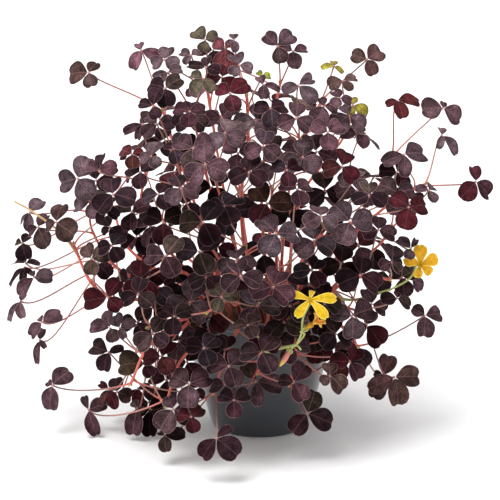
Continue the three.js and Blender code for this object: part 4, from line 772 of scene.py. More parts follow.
def stem_nodes(path):
    """Places on a stem from which petioles grow: a short run of close points at each node."""
    nodes = []
    start = 0.0
    following = FIRST_SHOOT
    shoots = 0
    found = 0
    for here, before in zip(path[:0:-1], path[-2::-1]):
        span = size(sub(before, here))
        while following < start + span and found < NODES_PER_STEM:
            point = mix(here, before, (following - start) / span)
            outside = math.hypot(point[0], point[1]) > POT_RIM_RADIUS + FREE_OUTSIDE_RIM
            if outside or point[2] > POT_HEIGHT + FREE_ABOVE_RIM:
                nodes.append({"point": point, "direction": unit(sub(here, before)), "from_tip": following,
                              "used": False})
            shoots += 1
            following += SHOOT_SPACING
            if shoots < NODE_SHOOTS:
                continue
            shoots = 0
            found += 1
            following += NODE_SPACING - NODE_SHOOTS * SHOOT_SPACING
        start += span
    return nodes


def rooted(root, path):
    """Points of a stem from its root along its seen path, led over the rim first where it leaves low."""
    seen = [seen_at(*point) for point in path]
    x, y, z = seen[0]
    reach = math.hypot(x, y)
    if z <= CREST_HEIGHT + CREST_MARGIN and reach >= POT_RIM_RADIUS:
        share = CREST_RADIUS / reach
        seen = [(x * share, y * share, CREST_HEIGHT), *seen]
    return [(*root, ROOT_DEPTH), (*root, ROOT_TOP), *seen]


def lay_stems():
    stems = []
    for index, (name, root, radius, seen) in enumerate(STEMS):
        points = rooted(root, seen)
        path = smooth_path(points, STEM_STEP)
        space.take_path(path, radius + STEM_MARGIN, index)
        stem = {"name": name, "radius": radius, "index": index, "points": points, "nodes": stem_nodes(path),
                "leaves": [], "bare": None}
        if name == BARE_STALK["stem"]:
            start = mix(path[-1], path[-2], BARE_START)
            stem["bare"] = [start, *[seen_at(*point) for point in BARE_STALK["path"]]]
            space.take_path(stem["bare"], BARE_RADIUS + STEM_MARGIN, index)
        stems.append(stem)
    return stems


def lay_flowers():
    """Flowers, posed, each with the foot of the short tube that stands in its calyx."""
    poses = {}
    for flower in FLOWERS:
        right, up, toward = flower["facing"]
        normal = unit(add(weigh(VIEW_RIGHT, right, VIEW_UP, up), mul(VIEW_BACK, toward)))
        hub = seen_at(*flower["at"])
        heading = unit(sub(VIEW_RIGHT, mul(normal, dot(VIEW_RIGHT, normal))))
        foot = sub(hub, mul(normal, PETAL_TUBE))
        pose = {**flower, "hub": hub, "normal": normal, "heading": heading, "foot": foot}
        poses[flower["name"]] = pose
        space.take(blade_balls(pose), FLOWER_OWNER)
        space.take([(*foot, PETAL_STALK + PETAL_STALK_MARGIN)], FLOWER_OWNER)
    return poses


def bud_ends():
    return seen_at(*BUD["from"]), seen_at(*BUD["to"])


def side_stalk(side, flowers):
    """Side stalk, led to the foot of the flower or bud that it carries, with the place of the calyx there."""
    path = [seen_at(*point) for point in side["path"]]
    calyx = None
    if side["end"] == "bud":
        foot, tip = bud_ends()
        calyx = {"facing": unit(sub(tip, foot)), "reach": BUD_CALYX_REACH}
        gaps = (CALYX_GAP,)
    elif side["end"]:
        flower = flowers[side["end"]]
        foot = flower["foot"]
        calyx = {"facing": flower["normal"], "reach": FLOWER_CALYX_REACH}
        gaps = (CALYX_GAP + STALK_APPROACH, CALYX_GAP)
    if calyx:
        path += [sub(foot, mul(calyx["facing"], gap)) for gap in gaps]
        calyx["foot"] = path[-1]
    return {"points": path, "coarse": path, "radius": SIDE_STALK_RADIUS, "calyx": calyx}


def lay_flower_stalks(flowers):
    """Green stalks, each a main stalk and its side stalks with their points and radii."""
    space.take_path(bud_ends(), BUD_BALL, FLOWER_OWNER, BUD_BALL_SPACING)
    stalks = []
    for stalk in FLOWER_STALKS:
        points = rooted(stalk["root"], stalk["path"])
        coarse = smooth_path(points, STEM_STEP)
        tubes = [{"points": points, "coarse": coarse, "radius": STALK_RADIUS, "calyx": None}]
        tubes += [side_stalk(side, flowers) for side in stalk["sides"]]
        for tube in tubes:
            space.take_path(tube["coarse"], STALK_RADIUS + STEM_MARGIN, FLOWER_OWNER)
        stalks.append({"name": stalk["name"], "tubes": tubes})
    return stalks


def bends_gently(path, leaf):
    """Whether a petiole bends nowhere too sharply and meets the leaf from below."""
    directions = [unit(sub(after, here)) for here, after in zip(path, path[1:])]
    if dot(directions[-1], leaf["normal"]) < LEAST_UNDERSIDE:
        return False
    return all(dot(a, b) >= SHARPEST_BEND for a, b in zip(directions, directions[1:]))


def attach(leaf, stems):
    """Best free way to hang a leaf, as stem, node, curve of the petiole and its balls, or None."""
    under = sub(leaf["hub"], mul(leaf["normal"], UNDER_LEAF))
    choices = []
    for stem in stems:
        for node in stem["nodes"]:
            reach = size(sub(node["point"], under))
            if node["used"] or reach > LONGEST_REACH:
                continue
            above = max(0, dot(sub(node["point"], leaf["hub"]), leaf["normal"]) + ABOVE_MARGIN)
            cost = reach + SHORT_COST * max(0, SHORTEST_REACH - reach) + ABOVE_COST * above
            choices.append((cost + CROWDING_COST * len(stem["leaves"]), stem, node))
    choices.sort(key=lambda choice: choice[0])
    for _, stem, node in choices[:CHOICES_TRIED]:
        for bow in BOWS:
            curve = petiole_curve(node, leaf, bow)
            path = bezier(curve, 3 if size(sub(leaf["hub"], curve[0])) > LONG_PETIOLE else 2)
            balls = petiole_balls(path)
            if not bends_gently(path, leaf) or not clear_of_pot(balls):
                continue
            if balls and not space.clear(balls, stem["index"]):
                continue
            return stem, node, curve, balls
    return None


def settle(trials, stems):
    """Tries places for a leaf in turn, and hangs it at the first that is clear."""
    for leaf in trials:
        blade = blade_balls(leaf)
        if not clear_of_pot(blade) or not space.clear(blade):
            continue
        found = attach(leaf, stems)
        if found is None:
            continue
        stem, node, curve, balls = found
        space.take(blade, LEAF_OWNER)
        space.take(balls, stem["index"])
        node["used"] = True
        stem["leaves"].append({**leaf, "curve": curve, "from_tip": node["from_tip"]})
        return


def place_seen_leaves(stems):
    draw = seeded(SEEN_SEED)
    rows = [(read_leaf, row) for row in READ_LEAVES] + [(whole_leaf, row) for row in SEEN_LEAVES]
    for make_leaf, (x, y, *form, lean, sink, tone) in rows:
        fold = vary(draw, FOLD_TRAIT)
        droop = DROOP * vary(draw, DROOP_TRAIT)
        normal = facing_normal(lean, SIDE_LEAN * (x - CENTRE_PIXEL) + SIDE_JITTER * (draw() - 0.5))
        depth = front_depth(x, y) + sink

        def trials():
            for right, down in NUDGES:
                for shift in DEPTH_SHIFTS:
                    hub = seen_at(x + right, y + down, depth + shift)
                    yield {**make_leaf(hub, normal, droop, fold, *form), "tone": tone, "depth": sink}

        settle(trials(), stems)


def place_rear_leaves(stems):
    """Leaves that the camera doesn't see, spread by a rule over the rear of the crown."""
    draw = seeded(REAR_SEED)
    for i in range(REAR_LEAVES):
        height = 1 - (2 * (i + 0.5)) / (REAR_LEAVES * REAR_SPREAD)
        turn = radians(i * GOLDEN_ANGLE)
        level = math.sqrt(1 - height * height)
        rearward = REAR_LEAST + (1 - REAR_LEAST) * abs(math.sin(turn))
        outward = (level * math.cos(turn), level * rearward, height)
        length = vary(draw, REAR_LENGTH)
        heading = radians(360 * draw())
        fold = vary(draw, FOLD_TRAIT)
        droop = DROOP * vary(draw, DROOP_TRAIT)
        jitter = (draw() - 0.5, draw() - 0.5, draw() - 0.5)
        normal = unit(add(add(mul(outward, OUTWARD_SHARE), (0, 0, UPWARD_SHARE)), mul(jitter, NORMAL_JITTER)))
        flat = unit(cross(normal, (math.cos(heading), math.sin(heading), HEADING_RISE)))
        trials = []
        for scale in REAR_SCALES:
            hub = tuple(REAR_CENTRE[k] + outward[k] * REAR_RADII[k] * scale for k in range(3))
            trials.append({"hub": hub, "normal": normal, "heading": flat, "length": length, "droop": droop,
                           "fold": fold, "tone": None, "depth": REAR_DEPTH})
        settle(trials, stems)


def from_srgb(value):
    """The standard curve from an sRGB value between 0 and 1 to a linear one."""
    return ((value + 0.055) / 1.055) ** 2.4 if value > 0.04045 else value / 12.92


def linear(*rgb):
    """Linear colour of an sRGB colour given in the usual 0 to 255."""
    return tuple(from_srgb(value / 255) for value in rgb)


# Leaf tones, named as the plant shows them: partly the leaves' own colours, partly painted light and shade,
# with painted sheen in mauve and painted shade in dark and black
TONES = {
    "mauve": linear(97, 78, 84),
    "dusk": linear(76, 55, 61),
    "dark": linear(45, 29, 34),
    "black": linear(22, 5, 8),
    "maroon": linear(88, 36, 38),
    "wine": linear(66, 23, 29),
    "brown": linear(80, 60, 56),
    "olive": linear(92, 84, 69),
    "rose": linear(116, 60, 64),
    "rosy": linear(98, 66, 75),
    "lime": linear(156, 164, 62),
    "gold": linear(146, 136, 52),
}
YOUNG_TONES = ("lime", "gold")
FRONT_TONES = ("mauve", "dusk", "dusk", "dark", "dusk", "mauve")
# Leaves that stand deep in the crown take darker tones: painted shade
DEEP_SHADED_TONES = ("dark", "black", "wine", "dark", "dusk")
REAR_TONES = ("dusk", "dark", "mauve", "brown", "dusk")
DEEP_SINK = 5
TONE_SEED = 1187

# Each leaflet of a leaf may lean toward a neighbouring tone
LEANINGS = [linear(*rgb) for rgb in ((94, 84, 64), (104, 58, 70), (88, 78, 88), (24, 12, 17), (70, 30, 40))]
LEANING_SHARE = 0.36
LEANING_POWER = 1.5
LEAFLET_BRIGHTNESS = 0.4
LEAF_BRIGHTNESS = 0.3
UNDERSIDE = linear(118, 62, 74)
UNDERSIDE_SHARE = 0.55

# Colours of the other parts
STEM_COLOUR = linear(224, 106, 88)
STEM_FOOT_COLOUR = linear(150, 84, 66)
PETIOLE_COLOUR = linear(210, 148, 132)
PETIOLE_VARIANTS = (linear(146, 66, 70), linear(134, 108, 98))
BARE_COLOUR = linear(190, 152, 104)
HUB_COLOUR = linear(196, 140, 132)
HAIR_COLOUR = np.array(linear(206, 170, 166))
SPROUT_COLOUR = linear(176, 150, 84)
STALK_COLOUR = linear(178, 184, 112)
STALK_FOOT_COLOUR = linear(176, 112, 84)
PETAL_COLOUR = linear(210, 172, 12)
# Petals of the right flower: a warmer yellow, partly painted light that lifts the flower on the shaded side
RIGHT_PETAL_COLOUR_WITH_PAINTED_LIGHT = linear(226, 168, 18)
WILTED_COLOUR = linear(244, 152, 50)
THROAT_COLOUR = linear(206, 150, 34)
BUD_COLOUR = linear(226, 140, 126)
BUD_TIP_COLOUR = linear(240, 206, 86)
POT_COLOUR = linear(50, 54, 60)
SOIL_COLOUR = linear(58, 40, 30)
CRUMB_COLOUR = linear(70, 48, 36)

# Painted shade and light: leaves and stems are painted darker toward the heart of the plant and by height as
# listed, darkest near the ground
HEART = np.array([-2.0, -10.0, 108.0])
HEART_REACH = np.array([125.0, 310.0, 110.0])
HEART_PAINTED_SHADE = 0.42
HEART_POWER = 1.5
HEIGHTS = (0, 25, 55, 80, 110, 165, 215, 265)
PAINTED_LIGHT_BY_HEIGHT = (0.65, 1.15, 1.8, 1.7, 1.1, 1.05, 1.5, 1.5)
LEAF_PAINTED_LIGHT_LIMITS = (0.0, 2.0)
STEM_PAINTED_LIGHT_LIMITS = (0.8, 0.9)


def painted_shade_and_light(points, limits):
    """Brightness of each point as painted shade and light, lowest at the heart of the plant and highest at
    its top.
    """
    points = np.atleast_2d(points)
    away = np.linalg.norm((points - HEART) / HEART_REACH, axis=1)
    from_heart = HEART_PAINTED_SHADE + (1 - HEART_PAINTED_SHADE) * np.minimum(1.0, away) ** HEART_POWER
    return np.clip(from_heart * np.interp(points[:, 2], HEIGHTS, PAINTED_LIGHT_BY_HEIGHT), *limits)


def blend_colours(start, end, shares):
    shares = np.clip(np.asarray(shares), 0, 1)[:, None]
    return np.array(start) * (1 - shares) + np.array(end) * shares


def outer(a, b):
    return a[:, None] * b[None, :]


def unit_rows(rows):
    return rows / np.linalg.norm(rows, axis=-1, keepdims=True)


def bell(values, reach):
    """1 where a value is 0, falling smoothly to 0 at a few times the reach."""
    return np.exp(-((values / reach) ** 2))


def across_of(way, guess):
    """Two directions at right angles to a direction and to each other."""
    side = unit_rows(np.cross(way, guess))
    return side, np.cross(way, side)


def ways_round(side, other, count):
    """Directions spread evenly round an axis, from two directions across it."""
    turns = 2 * np.pi * np.arange(count) / count
    return [side * math.cos(turn) + other * math.sin(turn) for turn in turns]


class Pieces:
    """Vertices, faces and colours that are gathered into one mesh."""

    def __init__(self):
        self.points = []
        self.colours = []
        self.places = []
        self.loops = []
        self.totals = []
        self.materials = []
        self.count = 0

    def add(self, points, faces, material, colours, places=None):
        """points in mm; faces a list of index arrays, one row a face; colours one for all or one a point."""
        points = np.asarray(points, dtype=float)
        self.points.append(points)
        self.colours.append(np.broadcast_to(np.asarray(colours, dtype=float), (len(points), 3)))
        self.places.append(np.zeros((len(points), 3)) if places is None else places)
        for rows in faces:
            self.loops.append((rows + self.count).ravel())
            self.totals.append(np.full(len(rows), rows.shape[1]))
            self.materials.append(np.full(len(rows), material))
        self.count += len(points)

    def make(self, name, materials):
        points = np.concatenate(self.points) * MM
        loops = np.concatenate(self.loops)
        totals = np.concatenate(self.totals)
        mesh = bpy.data.meshes.new(name)
        mesh.vertices.add(len(points))
        mesh.vertices.foreach_set("co", points.ravel())
        mesh.loops.add(len(loops))
        mesh.loops.foreach_set("vertex_index", loops)
        mesh.polygons.add(len(totals))
        mesh.polygons.foreach_set("loop_start", np.concatenate([[0], np.cumsum(totals)[:-1]]))
        mesh.polygons.foreach_set("loop_total", totals)
        for material in materials:
            mesh.materials.append(material)
        mesh.polygons.foreach_set("material_index", np.concatenate(self.materials))
        mesh.polygons.foreach_set("use_smooth", np.ones(len(totals), dtype=bool))
        rgba = np.ones((len(points), 4))
        rgba[:, :3] = np.concatenate(self.colours)
        mesh.attributes.new("tint", "FLOAT_COLOR", "POINT").data.foreach_set("color", rgba.ravel())
        places = np.concatenate(self.places).ravel()
        mesh.attributes.new("place", "FLOAT_VECTOR", "POINT").data.foreach_set("vector", places)
        mesh.update(calc_edges=True)
        mesh.validate()
        return add_object(name, mesh)


def add_object(name, data):
    thing = bpy.data.objects.new(name, data)
    bpy.context.scene.collection.objects.link(thing)
    return thing


def finish_piece(pieces, name, materials, slot, node):
    """Makes a piece that replaces a node of the solids."""
    thing = pieces.make(name, materials)
    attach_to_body(thing, "root")
    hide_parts(node)


def sheet_faces(rows, columns):
    """Top, bottom and rim faces of a thin sheet of rows by columns points, the bottom's after the top's."""
    index = np.arange(rows * columns).reshape(rows, columns)
    quads = np.stack([index[:-1, 1:], index[1:, 1:], index[1:, :-1], index[:-1, :-1]], axis=-1).reshape(-1, 4)
    below = quads[:, ::-1] + rows * columns
    loop = np.concatenate([index[0, :], index[1:, -1], index[-1, -2::-1], index[-2:0:-1, 0]])
    low = loop + rows * columns
    rim = np.stack([low, np.roll(low, -1), np.roll(loop, -1), loop], axis=-1)
    return [quads, below, rim]


def rim_distance(along, across):
    """Distance of each point of a sheet from its outline: its last row and its first and last columns."""
    sheet = np.stack([along, across], axis=-1)
    outline = np.concatenate([sheet[:, 0], sheet[-1, 1:-1], sheet[::-1, -1]])
    start = outline[:-1]
    run = outline[1:] - start
    points = sheet.reshape(-1, 1, 2)
    share = ((points - start) * run).sum(axis=-1) / (run ** 2).sum(axis=-1)
    nearest = start + np.clip(share, 0, 1)[..., None] * run
    return np.sqrt(((points - nearest) ** 2).sum(axis=-1)).min(axis=1).reshape(along.shape)


RIDGE_SOFTNESS = 0.03
RIM_THINNING = 0.5


def add_blade(pieces, leaf, axes, sheet, thickness, thinning, colours):
    """Leaflet or petal from a sheet of places along, across and above it. Returns its middle surface.

    The sheet is in shares of the length and the thickness in mm; colours are the upper and the under side's.
    """
    along, across, height = sheet
    fold = radians(leaf["fold"])
    ridge = np.sqrt(across ** 2 + RIDGE_SOFTNESS ** 2) - RIDGE_SOFTNESS
    face = np.array(axes["face"])
    shape = (
        along[..., None] * np.array(axes["along"])
        + (across * axes["width"] * math.cos(fold))[..., None] * np.array(axes["across"])
        + (ridge * math.sin(fold) + height)[..., None] * face
    )
    middle = np.array(leaf["hub"]) + shape * axes["length"]
    rim = rim_distance(along, across) * axes["length"]
    half = (thickness * (1 - thinning * np.exp(-rim / RIM_THINNING)) / 2)[..., None] * face
    points = np.concatenate([(middle + half).reshape(-1, 3), (middle - half).reshape(-1, 3)])
    place = np.stack([along, across, rim], axis=-1).reshape(-1, 3)
    colours = np.repeat(colours, len(place), axis=0)
    pieces.add(points, sheet_faces(*along.shape), 0, colours, np.tile(place, (2, 1)))
    return middle


# Fine leaflet: a fan of rays from its base, as shares of its widest angle and of its reach
FAN_ANGLE = 62
FAN_COLUMNS = 0.985 * np.sin(np.linspace(-0.5, 0.5, 19) * np.pi)
FAN_ROWS = np.array([0.03, 0.12, 0.24, 0.37, 0.5, 0.62, 0.73, 0.82, 0.89, 0.94, 0.97, 1.0])
FAN_REACH = 1.05
LEAFLET_START = 0.04
LEAF_THICKNESS = 0.42
LEAF_THINNING = 0.6
NOTCH_WIDTH = 0.17
GROOVE_DEPTH = 0.014
GROOVE_WIDTH = 0.035
RIPPLE = 0.04
RIPPLES = 7
TIP_BEND_START = 0.5

# How leaflets differ: least value and span of each trait
NOTCH_TRAIT = (0.05, 0.12)
TILT_TRAIT = (-0.035, 0.07)
ROUNDNESS_TRAIT = (0.4, 0.08)
ARCH_TRAIT = (0.03, 0.06)
TIP_BEND_TRAIT = (-0.3, 0.35)
SIDE_BEND_TRAIT = (0.05, 0.3)
TWIST_TRAIT = (-0.2, 0.4)
TURN_TRAIT = (0, 2 * math.pi)


def leaflet_shape(draw):
    """Places along and across a heart-shaped leaflet, with its height, in shares of its length."""
    notch = vary(draw, NOTCH_TRAIT)
    tilt = vary(draw, TILT_TRAIT)
    phase = vary(draw, TURN_TRAIT)
    reach = FAN_REACH * np.cos(np.pi / 2 * FAN_COLUMNS) ** vary(draw, ROUNDNESS_TRAIT)
    reach = reach * (1 - notch * bell(FAN_COLUMNS, NOTCH_WIDTH)) * (1 + tilt * FAN_COLUMNS)
    angle = np.radians(FAN_ANGLE * FAN_COLUMNS)
    distance = outer(FAN_ROWS, reach)
    along = LEAFLET_START + (1 - LEAFLET_START) * distance * np.cos(angle)
    across = distance * np.sin(angle)
    arch = vary(draw, ARCH_TRAIT) * np.sin(np.pi * np.clip(along, 0, 1))
    tip_bend = vary(draw, TIP_BEND_TRAIT) * np.clip(along - TIP_BEND_START, 0, None) ** 2
    side_bend = vary(draw, SIDE_BEND_TRAIT) * across ** 2
    twist = vary(draw, TWIST_TRAIT) * across * along
    ripple = RIPPLE * outer(FAN_ROWS ** 3, np.sin(RIPPLES * angle + phase))
    groove = GROOVE_DEPTH * bell(across, GROOVE_WIDTH) * FAN_ROWS[:, None]
    return along, across, arch + tip_bend - side_bend + twist + ripple - groove


def pick(share, choices):
    """The choice at a share of a list."""
    return choices[int(share * len(choices)) % len(choices)]


def add_leaflets(pieces, leaf, tone, colour, draw):
    young = tone in YOUNG_TONES
    for axes in blade_axes(leaf):
        sheet = leaflet_shape(draw)
        leaning = np.array(pick(draw(), LEANINGS))
        share = 0 if young else LEANING_SHARE * draw() ** LEANING_POWER
        top = (colour * (1 - share) + leaning * share) * (1 + LEAFLET_BRIGHTNESS * (draw() - 0.5))
        blush = 0 if young else UNDERSIDE_SHARE
        under = top * (1 - blush) + np.array(UNDERSIDE) * blush
        middle = add_blade(pieces, leaf, axes, sheet, LEAF_THICKNESS, LEAF_THINNING, [top, under])
        add_rim_hairs(pieces, middle, draw)


def add_rings(pieces, rings, ends, material, colours):
    """Closed skin over rings of points, with an end point for the first and for the last ring."""
    count, sides = rings.shape[:2]
    index = np.arange(count * sides).reshape(count, sides)
    after = np.roll(index, -1, axis=1)
    quads = np.stack([index[:-1], after[:-1], after[1:], index[1:]], axis=-1).reshape(-1, 4)
    end = np.full(sides, count * sides)
    first = np.stack([after[0], index[0], end], axis=-1)
    last = np.stack([index[-1], after[-1], end + 1], axis=-1)
    colours = np.asarray(colours, dtype=float)
    if colours.ndim == 2:
        colours = np.concatenate([np.repeat(colours, sides, axis=0), colours[:1], colours[-1:]])
    pieces.add(np.concatenate([rings.reshape(-1, 3), ends]), [quads, first, last], material, colours)


# A tube that starts along X by this much or more takes its spokes from Y, any other from X
ALONG_X = 0.8


def add_tube(pieces, path, radii, sides, material, colours):
    """Round tube with closed ends along a path."""
    path = np.array(path, dtype=float)
    along = unit_rows(np.gradient(path, axis=0))
    spoke = np.array([1.0, 0, 0]) if abs(along[0][0]) < ALONG_X else np.array([0, 1.0, 0])
    spokes = []
    for way in along:
        spoke = unit_rows(spoke - way * spoke.dot(way))
        spokes.append(spoke)
    others = np.cross(along, spokes)[:, None, :]
    turn = (2 * np.pi * np.arange(sides) / sides)[None, :, None]
    ring = np.cos(turn) * np.array(spokes)[:, None, :] + np.sin(turn) * others
    rings = path[:, None, :] + ring * np.asarray(radii, dtype=float)[:, None, None]
    add_rings(pieces, rings, [path[0], path[-1]], material, colours)


HAIR_RADIUS = 0.045
HAIR_GUESS = (0.31, 0.27, 0.91)
HAIR_FACES = ((0, 1, 3), (1, 2, 3), (2, 0, 3), (2, 1, 0))
HAIR_ROOT = 0.1
RIM_HAIRS = 26
RIM_HAIR_TRAIT = (0.35, 0.45)
RIM_HAIR_LEAN = 0.5
RIM_HAIR_DROP = 0.3
TUBE_HAIR_TRAIT = (0.5, 0.6)
TUBE_HAIR_ROOT = 0.8
TUBE_HAIR_LEAN = 0.2
PETIOLE_HAIRS = 14
STEM_HAIR_SPACING = 2.2
INNER_ROW = -5

# Hairs take the blade's colour at a place away from its midrib, rim and hub
HAIR_PLACE = (0.5, 0.3, 5.0)

# Keeps the last spot on a path inside its last span
LAST_SPAN = 1.001


def add_hairs(pieces, roots, tips, material):
    """Fine pointed hairs, each a slim closed spike."""
    ways = ways_round(*across_of(unit_rows(tips - roots), HAIR_GUESS), 3)
    feet = [roots + HAIR_RADIUS * way for way in ways]
    points = np.stack([*feet, tips], axis=1).reshape(-1, 3)
    first = 4 * np.arange(len(roots))[:, None]
    faces = [first + np.array(corners) for corners in HAIR_FACES]
    # Hairs are painted darker toward the heart of the plant: painted shade
    colours = HAIR_COLOUR * np.repeat(painted_shade_and_light(roots, LEAF_PAINTED_LIGHT_LIMITS), 4)[:, None]
    pieces.add(points, faces, material, colours, np.broadcast_to(HAIR_PLACE, points.shape))


def at_spots(rows, spots):
    """Points between rows of points, at spots counted in rows."""
    low = np.minimum(spots.astype(int), len(rows) - 2)
    share = (spots - low)[:, None]
    return rows[low] * (1 - share) + rows[low + 1] * share


def add_rim_hairs(pieces, sheet, draw):
    """Fringe of hairs along a leaflet's outline; sheet holds the points of its middle surface."""
    spots = np.array([(k + draw()) / RIM_HAIRS for k in range(RIM_HAIRS)]) * (sheet.shape[1] - 1)
    roots = at_spots(sheet[-1], spots)
    outward = unit_rows(roots - at_spots(sheet[INNER_ROW], spots))
    lengths = np.array([vary(draw, RIM_HAIR_TRAIT) for _ in range(RIM_HAIRS)])[:, None]
    lift = np.array([(draw() - 0.5, draw() - 0.5, draw() - RIM_HAIR_DROP) for _ in range(RIM_HAIRS)])
    tips = roots + (outward + RIM_HAIR_LEAN * lift) * lengths
    add_hairs(pieces, roots - outward * HAIR_ROOT, tips, 0)


def add_tube_hairs(pieces, path, radii, count, draw):
    """Spreading hairs on a stem or a leaf stalk."""
    spots = np.array([draw() for _ in range(count)]) * (len(path) - LAST_SPAN)
    low = spots.astype(int)
    middle = at_spots(path, spots)
    along = unit_rows(path[low + 1] - path[low])
    out = np.array([(draw() - 0.5, draw() - 0.5, draw() - 0.5) for _ in range(count)])
    out = unit_rows(out - along * (out * along).sum(axis=1)[:, None])
    reach = radii[low][:, None]
    lengths = np.array([vary(draw, TUBE_HAIR_TRAIT) for _ in range(count)])[:, None]
    tips = middle + out * (reach + lengths) + TUBE_HAIR_LEAN * along
    add_hairs(pieces, middle + out * reach * TUBE_HAIR_ROOT, tips, 1)


PETIOLE_STEPS = 16
PETIOLE_SIDES = 7
PETIOLE_LOOK_RADIUS = 0.62
PETIOLE_TAPER = 0.18
PETIOLE_FADE = 2.5
HUB_GAP = 0.2
HUB_SWELLING = 0.5
HUB_LENGTH = 1 / 14
FOOT_SWELLING = 0.35
FOOT_LENGTH = 1 / 12


def add_petiole(pieces, leaf, stem_path, colour, draw):
    """Leaf stalk from the nearest point of the stem to just under the blade, swollen at both ends."""
    away = ((stem_path - np.array(leaf["curve"][0])) ** 2).sum(axis=1)
    path = np.array(bezier([stem_path[np.argmin(away)], *leaf["curve"][1:]], PETIOLE_STEPS))
    path[-1] = np.array(leaf["hub"]) - np.array(leaf["normal"]) * HUB_GAP
    run = np.linspace(0, 1, len(path))
    swollen = HUB_SWELLING * bell(1 - run, HUB_LENGTH) + FOOT_SWELLING * bell(run, FOOT_LENGTH)
    radii = PETIOLE_LOOK_RADIUS * (1 - PETIOLE_TAPER * run + swollen)
    # The petiole's colour carries painted shade and light along its length
    colours = blend_colours(STEM_COLOUR, colour, run * PETIOLE_FADE) * painted_shade_and_light(path, STEM_PAINTED_LIGHT_LIMITS)[:, None]
    colours[-2:] = HUB_COLOUR
    add_tube(pieces, path, radii, PETIOLE_SIDES, 1, colours)
    add_tube_hairs(pieces, path, radii, PETIOLE_HAIRS, draw)


SPROUT_LEAVES = 3
SPROUT_GUESS = (0.2, 0.9, 0.3)
SPROUT_LENGTH = 3.6
SPROUT_LENGTHS = (0.7, 0.15)
SPROUT_SIDES = 6
SPROUT_ROOT = 0.5
SPROUT_SPINE = ((0.35, 0.7), (0.75, 1.1), (1, 0.9))
SPROUT_RADII = (0.35, 0.62, 0.5, 0.1)


def add_sprout(pieces, path):
    """Young furled leaves at the tip of a stem."""
    tip = path[-1]
    along = unit_rows(tip - path[-2])
    for k, way in enumerate(ways_round(*across_of(along, SPROUT_GUESS), SPROUT_LEAVES)):
        reach = SPROUT_LENGTH * (SPROUT_LENGTHS[0] + SPROUT_LENGTHS[1] * k)
        spine = [tip - along * SPROUT_ROOT]
        spine += [tip + along * reach * share + way * out for share, out in SPROUT_SPINE]
        add_tube(pieces, spine, SPROUT_RADII, SPROUT_SIDES, 1, SPROUT_COLOUR)


STEM_LOOK_STEP = 3.0
STEM_LOOK_TAPER = 0.5
STEM_LOOK_SIDES = 10
STEM_FADE = 3
NODE_SWELLING = 0.14
NODE_LENGTH = 1.8
BARE_TAPER = 0.7
BARE_LOOK_SIDES = 8


def grown_path(stem, spare):
    """The stem's fine path, cut off just past its last leaf."""
    path = smooth_path(stem["points"], STEM_LOOK_STEP)
    while spare > 0:
        tip = path.pop()
        span = size(sub(tip, path[-1]))
        if span > spare:
            path.append(mix(tip, path[-1], spare / span))
        spare -= min(span, spare)
    return np.array(path)


def add_stem(pieces, stem, draw):
    spare = max(0, min(leaf["from_tip"] for leaf in stem["leaves"]) - STEM_END)
    path = grown_path(stem, spare)
    steps = np.linalg.norm(np.diff(path, axis=0), axis=1)
    from_tip = np.concatenate([np.cumsum(steps[::-1])[::-1], [0]])
    run = np.linspace(0, 1, len(path))
    swollen = [bell(from_tip + spare - leaf["from_tip"], NODE_LENGTH) for leaf in stem["leaves"]]
    radii = stem["radius"] * (1 - STEM_LOOK_TAPER * run + NODE_SWELLING * np.max(swollen, axis=0))
    colours = blend_colours(STEM_FOOT_COLOUR, STEM_COLOUR, run * STEM_FADE)
    # The stem's colour carries painted shade and light along its length
    add_tube(pieces, path, radii, STEM_LOOK_SIDES, 1, colours * painted_shade_and_light(path, STEM_PAINTED_LIGHT_LIMITS)[:, None])
    add_tube_hairs(pieces, path, radii, int(steps.sum() / STEM_HAIR_SPACING), draw)
    add_sprout(pieces, path)
    if stem["bare"]:
        bare = smooth_path(stem["bare"], STEM_LOOK_STEP)
        narrowing = np.linspace(BARE_RADIUS, BARE_RADIUS * BARE_TAPER, len(bare))
        add_tube(pieces, bare, narrowing, BARE_LOOK_SIDES, 1, BARE_COLOUR)
    return path


def tone_of(leaf, draw):
    """Named tone of a leaf, by its own reading or drawn by how deep it stands, deeper leaves taking darker
    tones as painted shade.
    """
    share = draw()
    if leaf["tone"]:
        return leaf["tone"]
    if leaf["depth"] == REAR_DEPTH:
        return pick(share, REAR_TONES)
    return pick(share, FRONT_TONES if leaf["depth"] < DEEP_SINK else DEEP_SHADED_TONES)


def make_spray(stem, materials, draw):
    """Leafy stem with its petioles and leaves."""
    pieces = Pieces()
    path = add_stem(pieces, stem, draw)
    for leaf in stem["leaves"]:
        tone = tone_of(leaf, draw)
        # Painted shade and light by where the leaf stands, times a random tone variation
        painted_light_and_variation = painted_shade_and_light(leaf["hub"], LEAF_PAINTED_LIGHT_LIMITS)[0] * (1 + LEAF_BRIGHTNESS * (draw() - 0.5))
        variant = pick(draw(), PETIOLE_VARIANTS)
        add_petiole(pieces, leaf, path, blend_colours(PETIOLE_COLOUR, variant, [draw()])[0], draw)
        add_leaflets(pieces, leaf, tone, np.array(TONES[tone]) * painted_light_and_variation, draw)
    looks = [materials["leaf"], materials["stem"]]
    finish_piece(pieces, stem["name"] + "_foliage", looks, "foliage", stem["name"])


